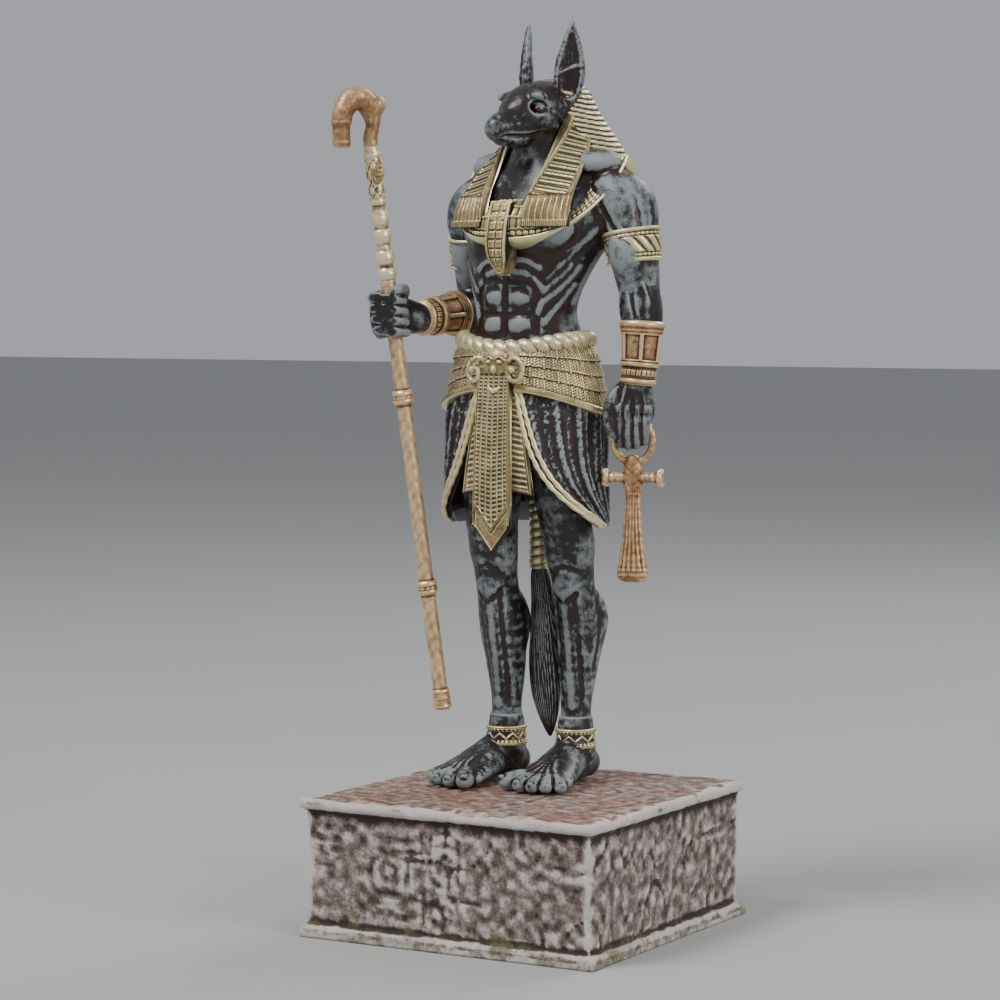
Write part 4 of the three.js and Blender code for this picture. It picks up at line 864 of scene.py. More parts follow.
def make_head(material):
    clay = Clay((-19, -16, 231), (19, 32, 280), 0.5)
    sideways = in_plan((0, 0, HEAD[2]), 1, 0, 0)
    clay.limb([(*on_head(0, ahead, z), wide, deep) for ahead, z, wide, deep in HEAD_SECTIONS], sideways, 1.2)
    clay.limb([(*in_plan(CHEST, 0, -4.4, 230), 10.6, 11), (*on_head(0, 2, 238), 9, 9.4), (*on_head(0, 2, 244), 9, 9)],
              sideways, 3)
    # Lower jaw, cheeks and the bony bridge
    clay.limb([(*on_head(0, 6, 238.4), 6.4, 4), (*on_head(0, 14, 236.2), 4.8, 3), (*on_head(0, 20, 235.2), 3.6, 2.2),
               (*on_head(0, 24.4, 235), 2.6, 1.8)], sideways, 1.2)
    clay.limb([(*on_head(0, 10, 252.4), 4.2, 2.6), (*on_head(0, 15, 248), 2.6, 2.4), (*on_head(0, 20, 243.8), 2, 1.8),
               (*on_head(0, 26, 242.2), 1.7, 1.5)], sideways, 1.6)
    for side in (-1, 1):
        clay.lump(on_head(side * 8.4, 8.5, 242), (3.6, 5.2, 4.2), HEAD[2] + side * 12, 0, 2)
        clay.lump(on_head(side * 6.4, 12.6, 250.6), (4.6, 2.8, 1.9), HEAD[2] + side * 32, 8, 1.5)
        # Socket and eyelids
        clay.lump(on_head(side * 8.2, 13.4, 246.6), (3.8, 3.2, 2.4), HEAD[2] + side * 34, 0, 1.0, True)
        clay.lump(on_head(side * 6.6, 11.2, 246.2), (3.5, 2.7, 2.6), HEAD[2] + side * 34, 0, 0.6)
        upper = [on_head(side * 4.4, 15.0, 245.6), on_head(side * 6.0, 14.6, 247.6), on_head(side * 8.2, 13, 247.9),
                 on_head(side * 10, 10.8, 246.2)]
        lower = [on_head(side * 4.4, 15.0, 245.6), on_head(side * 6.2, 14.3, 244.4), on_head(side * 8.2, 12.7, 244.2),
                 on_head(side * 10, 10.8, 246.2)]
        clay.stroke(upper, 0.8, 0.9)
        clay.stroke(lower, 0.8, 0.8)
        clay.stroke([(upper[i] + lower[i]) / 2 for i in range(4)], 0.8, -0.5)
        clay.stroke([on_head(side * 3, 15, 251.4), on_head(side * 6, 13.6, 252), on_head(side * 9.4, 10.6, 250.6)],
                    1.0, 0.6)
        # Whisker pad, lip, nostril and the line of the cheek
        clay.lump(on_head(side * 2.4, 23.6, 239.2), (2.4, 3.8, 2.6), HEAD[2], 0, 1.5)
        clay.stroke([on_head(side * 1.5, 27.6, 237.4), on_head(side * 4.2, 24, 237.6), on_head(side * 5.2, 19, 237.4),
                     on_head(side * 7, 14, 238), on_head(side * 8.6, 10, 239.6)], 0.9, 0.8)
        mouth = [on_head(side * 0, 28, 236), on_head(side * 3.4, 25.6, 236.4), on_head(side * 5, 21, 236.3),
                 on_head(side * 6.4, 16, 236.6), on_head(side * 8.2, 11, 238.4)]
        clay.stroke(mouth, 0.75, -1.9)
        clay.lump(on_head(side * 1.4, 28.1, 240.2), (0.8, 0.9, 0.7), HEAD[2], 0, 0.2, True)
        clay.stroke([on_head(side * 4.6, 21, 242), on_head(side * 6.6, 16, 242.4), on_head(side * 9.4, 12, 242.2)],
                    1.1, -0.6)
        clay.stroke([on_head(side * 10.4, 9, 245), on_head(side * 11, 5, 241), on_head(side * 9, 3, 236)], 1.6, -0.7)
    clay.lump(on_head(0, 27.4, 240.6), (2.2, 1.5, 1.7), HEAD[2], 0, 0.6)
    clay.stroke([on_head(0, 28.8, 240.4), on_head(0, 28.6, 238.4), on_head(0, 27.8, 236.4)], 0.45, -0.5)
    for side in (-1, 1):
        facing = in_plan((0, 0, HEAD[2] - side * 38), 0, -1, 0)
        across = in_plan((0, 0, HEAD[2] - side * 38), 1, 0, 0)
        outer = [(*on_head(side * left, ahead * -1, z), wide, deep) for left, ahead, z, wide, deep in EAR_SECTIONS]
        clay.limb(outer, across, 0.4, 6)
        hollow = [(*(np.array(outer[i][:3]) + facing * (1.7 + 0.4 * outer[i][4])), outer[i][3] * 0.74, outer[i][4] * 0.95)
                  for i in (1, 2, 3, 4)]
        clay.limb(hollow, across, 0.3, 6, True)
        # A fold across the hollow, and hairs in it
        middle = np.array(outer[2][:3])
        clay.stroke([middle + facing * 1.0 - across * 4.6 + UP * 0.5, middle + facing * 0.6 + UP * 2.4,
                     middle + facing * 1.2 + across * 4.4 + UP * 3.6], 0.8, 0.9)
        for hair in range(5):
            shift = across * (-2.4 + 1.2 * hair)
            clay.stroke([middle + facing * 0.4 + shift + UP * 4.5, middle + facing * 0.2 + shift * 0.7 + UP * 8,
                         middle + facing * 0.1 + shift * 0.5 + UP * 11.5], 0.45, 0.4)
    clay.grain(3.2, 0.12, 41, 3)
    clay.grain(1.2, 0.06, 43, 2)
    return make_piece("head", *clay.mesh(), material, "figure", "skin", 11)


def make_eye(side, material):
    clay = Clay(on_head(side * 7.2, 12.6, 246) - 4, on_head(side * 7.2, 12.6, 246) + 4, 0.2)
    clay.lump(on_head(side * 6.9, 11.9, 246), (2.9, 2.1, 1.9), HEAD[2] + side * 34, 0, 0)
    clay.lump(on_head(side * 7.4, 13.4, 246.1), (1.1, 0.9, 1.1), HEAD[2] + side * 34, 0, 0.3)
    return make_piece("eye_left" if side > 0 else "eye_right", *clay.mesh(), material, "figure", "skin", 4)


# Headcloth

HOOD = [(258, 5.5, 4.4, 2.2), (256.5, 9, 7, 2), (253, 14.2, 9, 1.6), (245, 18.8, 10.5, 2.4), (238, 23.6, 11.4, 3.6),
        (231, 28.4, 11.8, 4.8), (225.5, 29.4, 10.6, 5.6), (220, 26, 8.6, 6)]


def make_hood(material):
    rows, columns = 110, 180
    line = spline(HOOD, rows)
    angle = np.linspace(0, 2 * math.pi, columns, endpoint=False)
    height = line[:, 0:1] + 0 * angle
    ridge_place = (height + 3.2 * np.abs(np.sin(angle)) ** 2 * np.sign(1) - 218) / 1.95
    ridge = np.abs(np.sin(math.pi * ridge_place)) ** 0.55
    out = 1.0 * (ridge - 0.6) * smoothstep(257.5, 254, height)
    out = out + 0.12 * np.sin(angle * 90) * ridge * smoothstep(257.5, 254, height)
    wide, deep, back = line[:, 1:2] + out, line[:, 2:3] + out, line[:, 3:4]
    outer = in_plan(CHEST, wide * np.sin(angle), back - deep * np.cos(angle), height)
    outer = outer + 0.1 * rough(outer, 2.2, 51, 3)[..., None] * unit(outer - outer.mean(1, keepdims=True))
    return make_piece("hood", *tube(outer), material, "figure", "gold", 7)


LAPPET = [(13.6, 1.4, 252, 7, 70), (16, -3.6, 240, 9, 58), (17.8, -12, 229, 13, 36), (18, -21.6, 218, 15.5, 22),
          (18, -25.8, 210, 17, 16), (18.2, -26.6, 203.5, 17.6, 14)]


def make_lappet(side, material):
    rows, columns = 200, 80
    line = spline(LAPPET, rows)
    u = np.linspace(0, 1, columns)[None, :]
    v = np.linspace(0, 1, rows)[:, None]
    left, back, height, width, lean = (line[:, k:k + 1] for k in range(5))
    step = np.linalg.norm(np.diff(line[:, :3], axis=0), axis=1)
    down = np.concatenate([[0], np.cumsum(step)])[:, None]
    split = 0.66
    panel_end = np.interp(split, v[:, 0], down[:, 0])
    # Slanted panels in frames above, pleats with a border below
    slanted = (down - (u - 0.5) * 3.2) / 3.75
    cell = slanted - np.floor(slanted)
    edge = np.minimum(cell, 1 - cell) * 3.75
    rim = np.minimum(u, 1 - u) * width
    recess = smoothstep(0.45, 0.85, edge) * smoothstep(1.1, 1.6, rim)
    relief = -0.9 * recess + 0.25 * smoothstep(0.2, 0.5, rim)
    inside = np.clip(edge - 1.25, 0, None)
    relief = relief + 0.45 * recess * smoothstep(0.15, 0.5, inside)
    pleat = np.abs(np.sin(math.pi * 7 * u)) ** 0.7
    low = 0.9 * (pleat - 0.6) * smoothstep(0.4, 0.8, rim)
    border = smoothstep(line[-1, 2] + 2.6, line[-1, 2] + 2.1, height)
    low = low * (1 - border) + border * (0.5 + 0.2 * np.sin(2 * math.pi * u * 22))
    mix = smoothstep(panel_end - 0.3, panel_end + 0.3, down)
    band = np.exp(-((down - panel_end) / 0.7) ** 2)
    relief = relief * (1 - mix) + low * mix + 0.7 * band
    out = relief + 0.2
    across = (u - 0.5) * width
    c, s = np.cos(lean * DEGREE), np.sin(lean * DEGREE)

    def place(out):
        return in_plan(CHEST, side * (left + across * c + out * s), back + across * s - out * c, height + 0 * u)

    outer = place(out)
    outer = outer + 0.06 * rough(outer, 1.6, 61, 2)[..., None] * unit(place(out + 1) - outer)
    inner = place(-2.6 + 0 * u)[::20]
    if side < 0:
        outer, inner = outer[:, ::-1], inner[:, ::-1]
    inner[-1] = place(-2.6 + 0 * u)[-1] if side > 0 else place(-2.6 + 0 * u)[-1, ::-1]
    points, faces = shell(outer, inner, False)
    name = "lappet_left" if side > 0 else "lappet_right"
    return make_piece(name, points, faces, material, "figure", "gold", 7)


# Collar and pendant

COLLAR_EDGE = (29, 35.8, 22, 197, 228.5, 205)
COLLAR_NECK = (25, 12, 9, 213, 232, 231)
COLLAR_SWEEP = 2.7


def collar_line(line, angle):
    front, side, back, front_z, side_z, back_z = line
    ahead, aside = np.cos(angle), np.sin(angle)
    end = np.where(ahead > 0, front, back)
    height = np.where(ahead > 0, front_z, back_z)
    share = (np.arcsin(np.clip(np.abs(aside), 0, 1)) / (math.pi / 2)) ** COLLAR_SWEEP
    return 1 / np.hypot(ahead / end, aside / side), height + (side_z - height) * share


def collar_place(angle, spread, out):
    neck_reach, neck_z = collar_line(COLLAR_NECK, angle)
    edge_reach, edge_z = collar_line(COLLAR_EDGE, angle)
    flat = np.abs(np.cos(angle))
    bow = 3.6 * np.sin(math.pi * np.clip(spread, 0, 1)) * flat
    reach = neck_reach + (edge_reach - neck_reach) * spread + bow + out * (0.25 + 0.75 * flat)
    height = neck_z + (edge_z - neck_z) * spread + out * 0.7 + 0.5 * bow
    return in_plan(CHEST, reach * np.sin(angle), -reach * np.cos(angle), height)


def make_collar(material):
    rows, columns = 61, 640
    angle = np.linspace(0, 2 * math.pi, columns, endpoint=False)[None, :]
    spread = np.linspace(-0.02, 1, rows)[:, None]
    neck = collar_place(angle, 0 * angle, 0)
    edge = collar_place(angle, 0 * angle + 1, 0)
    length = np.linalg.norm(edge - neck, axis=-1)
    from_edge = (1 - spread) * length
    run = np.linalg.norm(np.diff(edge, axis=1, append=edge[:, :1]), axis=-1)
    run = np.concatenate([[0], np.cumsum(run[0])[:-1]])[None, :]
    beads = 96
    # Distance along the rim, stretched to fit a whole number of beads
    along = run / run[0, -1] * beads
    pitch = run[0, -1] / beads
    bead = (along - np.floor(along) - 0.5) * pitch
    roll = bump((from_edge - 0.9) / 0.95)
    beading = bump(np.hypot(bead / (pitch * 0.48), (from_edge - 2.9) / 0.85)) * 0.9
    fluting = np.abs(np.sin(math.pi * along * 1.0)) ** 0.6
    lines = np.minimum(np.abs(from_edge - 4.3), np.abs(from_edge - 8.6))
    lines = np.minimum(lines, np.abs(from_edge - 13.2))
    raised = 0.5 * np.clip(1 - (lines / 0.55) ** 2, 0, 1)
    field = smoothstep(4.2, 4.8, from_edge)
    out = 0.2 + 1.3 * roll + beading * (from_edge > 1.6) * (from_edge < 4.0)
    out = out + field * (0.55 * (fluting - 0.5) + raised)
    outer = collar_place(angle, spread, out)
    outer = outer + 0.07 * rough(outer, 1.8, 71, 2)[..., None] * unit(collar_place(angle, spread, out + 1) - outer)
    low = collar_place(angle, spread[::30], 0 * angle)
    centre = in_plan(CHEST, 0, 0, 0)
    inner = centre + (low - centre) * np.array([0.55, 0.55, 1.0])
    inner[..., 2] -= 5
    return make_piece("collar", *shell(outer, inner, True), material, "figure", "gold", 7)


PENDANT = [(9.5, 213, 28.4), (9.5, 205, 30.8), (9.5, 197, 31.8), (8.4, 192, 30.9), (5, 188.4, 29.5), (1.2, 186.2, 28.6)]


def make_pendant(material):
    rows, columns = 110, 44
    line = spline(PENDANT, rows)
    width, height, ahead = (line[:, k:k + 1] for k in range(3))
    u = np.linspace(-0.5, 0.5, columns)[None, :]
    across = u * width
    from_side = (0.5 - np.abs(u)) * width
    from_tip = height - PENDANT[-1][1]
    edge = np.minimum(from_side, from_tip)
    out = 0.9 * smoothstep(0, 0.5, edge) - 0.5 * smoothstep(1.0, 1.4, edge)
    # Shallow inlays in rows, and strokes in them that are no letters
    row = (height - 186) / 3.3
    cell = np.minimum(row - np.floor(row), np.ceil(row) - row) * 3.3
    inset = smoothstep(0.25, 0.5, cell) * smoothstep(1.5, 1.9, edge) * smoothstep(0.25, 0.5, np.abs(across))
    out = out + 0.4 * inset
    out = out + 0.5 * bump(np.hypot(across / 1.9, (height - 193) / 2.6))

    def place(out):
        return in_plan(CHEST, across, -(ahead + out), height + 0 * u)

    outer = place(out)
    inner = place(-6 + 0 * u)
    points, faces = shell(outer, inner, False)
    return make_piece("pendant", points, faces, material, "figure", "gold", 6)


# Rope belt, girdle and kilt

BELT_HEIGHT = 163


def make_belt(material):
    steps, sides = 640, 22
    around = np.linspace(0, 2 * math.pi, steps, endpoint=False)[:, None]
    twist = np.linspace(0, 2 * math.pi, sides, endpoint=False)[None, :]
    strands = twist * 2 + 16 * 2 * around / 1
    lobe = np.abs(np.cos(strands / 2)) ** 0.8
    fibre = 0.05 * np.sin(strands * 5) + 0.04 * np.sin(strands * 9 + 1)
    size = 2.9 * (0.84 + 0.3 * lobe + fibre)
    dip = 3.2 * np.clip(np.cos(around), 0, 1) ** 3
    x, y = PELVIS[0] + 0.3, PELVIS[1] - 1
    radial, rise = np.cos(twist) * size, np.sin(twist) * size
    rings = np.stack([x + np.sin(around) * (24.6 + radial), y - np.cos(around) * (15.6 + radial),
                      BELT_HEIGHT - dip + rise], -1)
    points = rings.reshape(-1, 3)
    row, column = np.meshgrid(np.arange(steps), np.arange(sides), indexing="ij")
    next_row, next_column = (row + 1) % steps, (column + 1) % sides
    quads = np.stack([row * sides + column, row * sides + next_column, next_row * sides + next_column,
                      next_row * sides + column], -1).reshape(-1, 4)
    return make_piece("rope_belt", points, [quads], material, "figure", "gold", 6)


SKIRT = [(166, 23.5, 15.2), (158, 27.4, 18), (147, 29.8, 20.4), (137, 31.2, 22.2), (125, 31.8, 23.4),
         (110, 32, 24), (92, 31.6, 24)]


def skirt_place(angle, height, out):
    table = np.array(SKIRT[::-1], float)
    wide, deep = (np.interp(height, table[:, 0], table[:, k]) for k in (1, 2))
    return in_plan(PELVIS, np.sin(angle) * (wide + out), -np.cos(angle) * (deep + out), height)


def make_girdle(material):
    rows, columns = 96, 400
    opening = 13 * DEGREE
    angle = np.linspace(opening, 2 * math.pi - opening, columns)[None, :]
    v = np.linspace(0, 1, rows)[:, None]
    hem = 136 + 9 * np.clip(np.cos(angle), 0, 1) ** 1.5
    height = 161 + (hem - 161) * v
    feathers = 46
    along = (angle - opening) / (2 * math.pi - 2 * opening) * feathers
    out = np.zeros(np.broadcast(angle, v).shape)
    border = 2.6
    span = (161 - hem - border) / 4
    down = 161 - height
    for row in range(4):
        top = span * row
        shift = 0.5 * (row % 2)
        across = (along + shift) - np.floor(along + shift) - 0.5
        low = down - top
        # A feather is a long scale with a rounded end that overlaps the row below
        end = span * (0.92 + 0.55 * np.sqrt(np.clip(1 - (2.05 * across) ** 2, 0, 1)))
        lift = 0.25 + 1.1 * np.clip(low / end, 0, 1)
        body = lift * (low < end) * (low > -0.2)
        rib = 0.28 * np.exp(-(across / 0.06) ** 2) + 0.1 * np.cos(2 * math.pi * (low / 1.0 + 2.2 * np.abs(across)))
        rim = np.exp(-((end - low) / 0.45) ** 2) * 0.25
        side = 0.35 * smoothstep(0.42, 0.5, np.abs(across))
        here = np.where(body > 0, body + rib * smoothstep(0, 1, low) + rim - side, 0)
        out = np.where((low > 0) & (low < end) & ((row == 0) | (here > 0)), np.maximum(here, out * 0 + here), out)
    hem_band = smoothstep(border + 0.2, border - 0.2, height - hem)
    band_roll = bump((height - hem - border / 2) / (border / 2)) * 0.7
    out = out * (1 - hem_band) + hem_band * (1.5 + band_roll)
    outer = skirt_place(angle, height, out + 0.2)
    inner = skirt_place(angle, 161 + (hem - 161) * np.linspace(0, 1, 5)[:, None], -4.5)
    return make_piece("girdle", *shell(outer, inner, False), material, "figure", "gold", 7)


KILT_TOP, KILT_HEM, KILT_WALL = 152, 95, 2.2


def kilt_edge(height):
    t = np.clip((150 - height) / (150 - KILT_HEM), 0, 1)
    return (11 + 26 * t + 52 * t**5) * DEGREE


def kilt_fold(run, v, height):
    sweep = math.pi * 10 * run * (0.7 + 0.3 * v) * 2
    soft = 0.75 * np.sin(sweep) + 0.3 * np.sin(2.3 * sweep + 1 + 3 * v)
    weave = 0.05 * np.sin(height * 9) * np.sin(run * 900)
    return (soft + weave) * np.clip(6 * run, 0, 1) * np.clip(3 * v, 0, 1) - 0.4


def make_kilt(material):
    rows, columns = 90, 300
    u = np.linspace(0, 1, columns)[None, :]
    v = np.linspace(0, 1, rows)[:, None]
    height = KILT_TOP - (KILT_TOP - KILT_HEM) * v
    edge = kilt_edge(height)
    run = np.minimum(u, 1 - u) * 2
    angle = edge + (math.pi - edge) * run
    angle = np.where(u < 0.5, angle, 2 * math.pi - angle)
    fold = kilt_fold(run, v, height)
    outer = skirt_place(angle, height + 0 * u, fold)
    fuzz = 0.16 * noise(outer, 0.8, 81) + 0.2 * noise(outer, 2.4, 82)
    outer = skirt_place(angle, height + 0 * u, fold + fuzz)
    inner_v = np.linspace(0, 1, 9)[:, None]
    inner_z = KILT_TOP - (KILT_TOP - KILT_HEM) * inner_v
    edge = kilt_edge(inner_z)
    inner_angle = edge + (math.pi - edge) * run
    inner_angle = np.where(u < 0.5, inner_angle, 2 * math.pi - inner_angle)
    inner = skirt_place(inner_angle, inner_z + 0 * u, -KILT_WALL)
    return make_piece("kilt", *shell(outer, inner, False), material, "figure", "skin", 9)


def make_trim(name, side, start, along, material):
    """A cord on the kilt, start degrees behind its front edge."""
    v = np.linspace(0.02, 1, 180)
    height = 150 - (150 - KILT_HEM - 0.4) * v
    angle = kilt_edge(height) + (start + along * v) * DEGREE
    path = skirt_place(angle * side, height, 0.35)
    rings = sweep(path, 0.85, 10, lambda row, angle: 1 + 0.16 * np.cos(2 * angle + row * 0.5))
    return make_piece(name, *tube(rings), material, "figure", "gold", 5)


def make_apron(material):
    rows, columns = 180, 72
    u = np.linspace(-1, 1, columns)[None, :]
    v = np.linspace(0, 1, rows)[:, None]
    hem = 86.5 + (96 - 86.5) * np.abs(u)
    height = 151 + (hem - 151) * v
    width = 12.6 + 2.4 * v
    across = u * width / 2
    stripe = across / (width / 2) * 3
    cell = stripe - np.floor(stripe) - 0.5
    pitch = width / 6
    dots = height / (pitch * 0.9)
    dot = dots - np.floor(dots) - 0.5
    out = 0.5 * bump(cell / 0.5) ** 2 + 0.35 * bump(np.hypot(cell / 0.4, dot / 0.42))
    edge = smoothstep(0.86, 0.93, np.abs(u))
    from_hem = height - hem
    chevron = smoothstep(9.2, 8.7, from_hem) * smoothstep(6.4, 6.9, from_hem)
    low = smoothstep(6.6, 6.2, from_hem)
    out = out * (1 - chevron) * (1 - low) + 1.1 * chevron + low * 0.3
    out = np.maximum(out, 0.95 * edge)
    rim = smoothstep(1.0, 0.5, from_hem) * 0.6
    out = out + rim
    ahead = 21.6 + 2.2 * np.sin(v * 2.2)

    def place(out):
        return in_plan(PELVIS, across, -(ahead + out), height)

    outer = place(out + 1.6)
    outer = outer + 0.06 * rough(outer, 1.3, 91, 2)[..., None] * FRONT
    inner = place(-0.6 + 0 * u)[::30]
    inner = np.vstack([inner, place(-0.6 + 0 * u)[-1:]])
    return make_piece("apron", *shell(outer, inner, False), material, "figure", "gold", 6)


def make_apron_side(side, material):
    rows, columns = 110, 30
    u = np.linspace(0, 1, columns)[None, :]
    v = np.linspace(0, 1, rows)[:, None]
    height = 148 - 39 * v - 2 * u
    left = 4 + (4.5 + 6 * v) * u
    rib = np.abs(np.sin(math.pi * (height + 1.2 * u) / 2.1)) ** 0.6
    edge = np.maximum(smoothstep(0.86, 0.92, u + 0 * v), smoothstep(0.965, 0.975, v + 0 * u))
    out = 0.7 * rib * (1 - edge) + 0.9 * edge
    ahead = 19.6 + 1.8 * np.sin(v * 2.2) - 1.6 * u

    def place(out):
        return in_plan(PELVIS, side * left, -(ahead + out), height)

    outer = place(out + 1.1)
    inner = place(0 * u + 0 * v)[::20]
    inner = np.vstack([inner, place(0 * u + 0 * v)[-1:]])
    if side < 0:
        outer, inner = outer[:, ::-1], inner[:, ::-1]
    name = "apron_left" if side > 0 else "apron_right"
    return make_piece(name, *shell(outer, inner, False), material, "figure", "gold", 6)


def make_buckle(material):
    clay = Clay((-23, -16, 138), (9, -2, 166), 0.38)

    def at(left, ahead, height):
        return in_plan(PELVIS, left, -ahead, height)

    clay.lump(at(0, 21, 153.4), (5.4, 3.2, 6.2), 0, 0, 1)
    clay.lump(at(0, 19, 153), (9.5, 3, 7), 0, 0, 1)
    clay.lump(at(0, 23.8, 152.4), (1.3, 1.3, 1.6), 0, 0, 0.5)
    for side in (-1, 1):
        clay.stroke([at(side * 0.6, 24, 156.4), at(side * 2.2, 24, 157.2), at(side * 4, 23, 156)], 0.6, 0.9)
        clay.lump(at(side * 2.2, 23.8, 155.2), (1.1, 0.8, 0.7), 0, 0, 0.2)
        clay.stroke([at(side * 0.8, 24.2, 150.2), at(side * 2.4, 23.6, 149.6), at(side * 3.6, 22.8, 150.8)], 0.5, -0.6)
        for lock in range(7):
            turn = (lock - 1) * 24 * DEGREE
            inner = at(side * 4.4 * math.cos(turn), 22.4, 153 + 5 * math.sin(turn))
            outer = at(side * 7.6 * math.cos(turn), 21.0, 153 + 7.6 * math.sin(turn))
            clay.stroke([inner, (inner + outer) / 2 + UP * 0.4, outer], 0.55, 0.8)
        scroll = [at(side * (8 + r * math.cos(a)), 21.4 + 0.3 * i, 151.5 + 1.25 * r * math.sin(a))
                  for i, (a, r) in enumerate(zip(np.linspace(2.6, -5.2, 14), np.linspace(4.6, 0.8, 14)))]
        clay.limb([(*p, 0.85, 0.85) for p in scroll], UP, 0.3, 2)
        clay.lump(scroll[-1], (1.2, 1.2, 1.2), 0, 0, 0.3)
        for bar in range(4):
            low = at(side * (6.4 + bar * 1.1), 21.2, 147.4)
            clay.stroke([low, low + UP * 3 + (side * 0.8, 0, 0)], 0.4, 0.4)
    clay.limb([(*at(-4.6, 22, 147.4), 0.9, 0.9), (*at(0, 23.8, 144.6), 1, 1), (*at(4.6, 22, 147.4), 0.9, 0.9)], UP, 0.3)
    clay.limb([(*at(-2, 22.4, 146), 2.4, 1.5), (*at(-1.4, 23.2, 143), 1.6, 1.3), (*at(-1.2, 23.4, 140.4), 0.8, 0.8)],
              SIDEWAYS, 0.4)
    clay.grain(1.1, 0.06, 95, 2)
    return make_piece("buckle", *clay.mesh(), material, "figure", "gold", 5)


# Cuffs on the limbs

CUFF = [(0, 0.6), (0.05, 1.5), (0.1, 1.7), (0.15, 1.5), (0.18, 0.7), (0.2, 0.8), (0.64, 0.5), (0.66, 0.5),
        (0.69, 1.2), (0.74, 1.4), (0.79, 1.2), (0.82, 0.7), (0.92, 0.6), (0.94, 0.9), (0.98, 1.2), (1, 0.6)]


def make_cuff(name, path, radii, pattern, material, columns=100, rows=56):
    """A cuff along a path with oval radii (start, end), each (across, deep), and a pattern of relief."""
    t = np.linspace(0, 1, rows)
    line = spline(path, rows)
    side, other = ring_frames(line)
    angle = np.linspace(0, 2 * math.pi, columns, endpoint=False)
    sizes = np.array(radii, float)
    across = np.interp(t, np.linspace(0, 1, len(sizes)), sizes[:, 0])[:, None]
    deep = np.interp(t, np.linspace(0, 1, len(sizes)), sizes[:, 1])[:, None]
    length = np.linalg.norm(np.diff(line, axis=0), axis=1).sum()
    out = pattern(t[:, None], angle[None, :], length, float(across.mean()))

    def place(out):
        return (line[:, None] + side[:, None] * ((across + out) * np.cos(angle))[..., None]
                + other[:, None] * ((deep + out) * np.sin(angle))[..., None])

    outer = place(out)
    outer = outer + 0.05 * rough(outer, 1.4, 55, 2)[..., None] * unit(outer - line[:, None])
    return make_piece(name, *shell(outer, place(-1.6 + 0 * out)[::11], True), material, "figure", "gold", 6)


def ring_bands(t, places, length):
    """Round rings at places along a cuff, each (share, half width in mm, height)."""
    return sum(high * bump((t - place) * length / half) for place, half, high in places)


def armlet_pattern(t, angle, length, radius):
    beads = np.abs(np.sin(angle * 17)) * 0.35
    rims = ring_bands(t, ((0.07, 0.8, 1.0), (0.93, 0.8, 1.0)), length)
    bead_rows = (bump((t - 0.2) * length / 0.55) + bump((t - 0.8) * length / 0.55)) * (0.35 + beads)
    slant = angle * 7 / (2 * math.pi) * 2 + t * 2.4
    lobe = np.abs(np.sin(math.pi * slant)) ** 0.8
    middle = smoothstep(0.25, 0.3, t) * smoothstep(0.75, 0.7, t)
    return 0.2 + rims + bead_rows + middle * (0.1 + 0.75 * lobe)


def bracelet_pattern(t, angle, length, radius):
    rings = ring_bands(t, ((0.06, 1.2, 1.1), (0.14, 0.8, 0.7), (0.66, 1.1, 0.9), (0.94, 0.9, 0.9)), length)
    panel = np.abs((angle * 6 / (2 * math.pi)) % 1 - 0.5) * 2
    frame = smoothstep(0.78, 0.86, panel) * 0.8
    middle = smoothstep(0.17, 0.19, t) * smoothstep(0.62, 0.6, t)
    edge = middle * (smoothstep(0.21, 0.19, t) + smoothstep(0.58, 0.6, t))
    dots = bump(((angle * 30 / math.pi) % 1 - 0.5) * 2.1) * bump((t - 0.8) * length / 1.2) * 0.5
    return 0.2 + rings + middle * np.clip(frame + edge, 0, 0.8) + dots


def anklet_pattern(t, angle, length, radius):
    rims = ring_bands(t, ((0.07, 0.7, 1.0), (0.93, 0.7, 1.0)), length)
    beads = np.abs(np.sin(angle * 14)) * 0.5
    bead_rows = (bump((t - 0.2) * length / 0.6) + bump((t - 0.8) * length / 0.6)) * (0.3 + beads)
    wave = np.abs(((angle * 9 / (2 * math.pi)) % 1) - 0.5) * 2
    zigzag = np.exp(-((t - 0.36 - 0.28 * wave) * length / 0.5) ** 2)
    return 0.2 + rims + bead_rows + 0.8 * zigzag


# Tail

def make_tail(material_wound, material_hair):
    path = spline([(-8.5, 23.5, 128), (-8.5, 23.8, 112), (-8.5, 24, 96), (-8.5, 24.1, 78)], 160)
    along = np.linspace(0, 50, 160)[:, None]
    rings = sweep(path, 1, 28, lambda row, angle: 2.6 + 0.01 * along + 0.75 * np.abs(
        np.sin(math.pi * along / 3.1 - angle / 2)) ** 0.7)
    make_piece("tail_wound", *tube(rings), material_wound, "figure", "gold", 6)
    hair = spline([(78.4, 2.4, 2.4), (75, 3.4, 3), (66, 4.2, 3.2), (50, 5.3, 3.5), (36, 5.7, 3.5), (26, 4.4, 2.8),
                   (19, 2.2, 1.6), (15.4, 0.5, 0.4)], 130)
    angle = np.linspace(0, 2 * math.pi, 90, endpoint=False)[None, :]
    z = hair[:, 0:1]
    wave = angle * 13 + 0.5 * np.sin(z / 9) + 0.12 * z * np.sin(angle * 2)
    lock = np.abs(np.sin(wave)) ** 0.6 + 0.4 * np.abs(np.sin(wave * 2.7 + z * 0.25))
    grow = 1 + 0.16 * (lock - 0.8)
    x = -8.2 + (78 - z) / 63 * 3.5 + np.sin(z / 8) * 0.5
    points = np.stack([x + hair[:, 1:2] * grow * np.sin(angle), 24.2 + (78 - z) / 63 - hair[:, 2:3] * grow * np.cos(angle),
                       z + 0 * angle], -1)
    make_piece("tail_hair", *tube(points), material_hair, "figure", "skin", 9)


# Staff

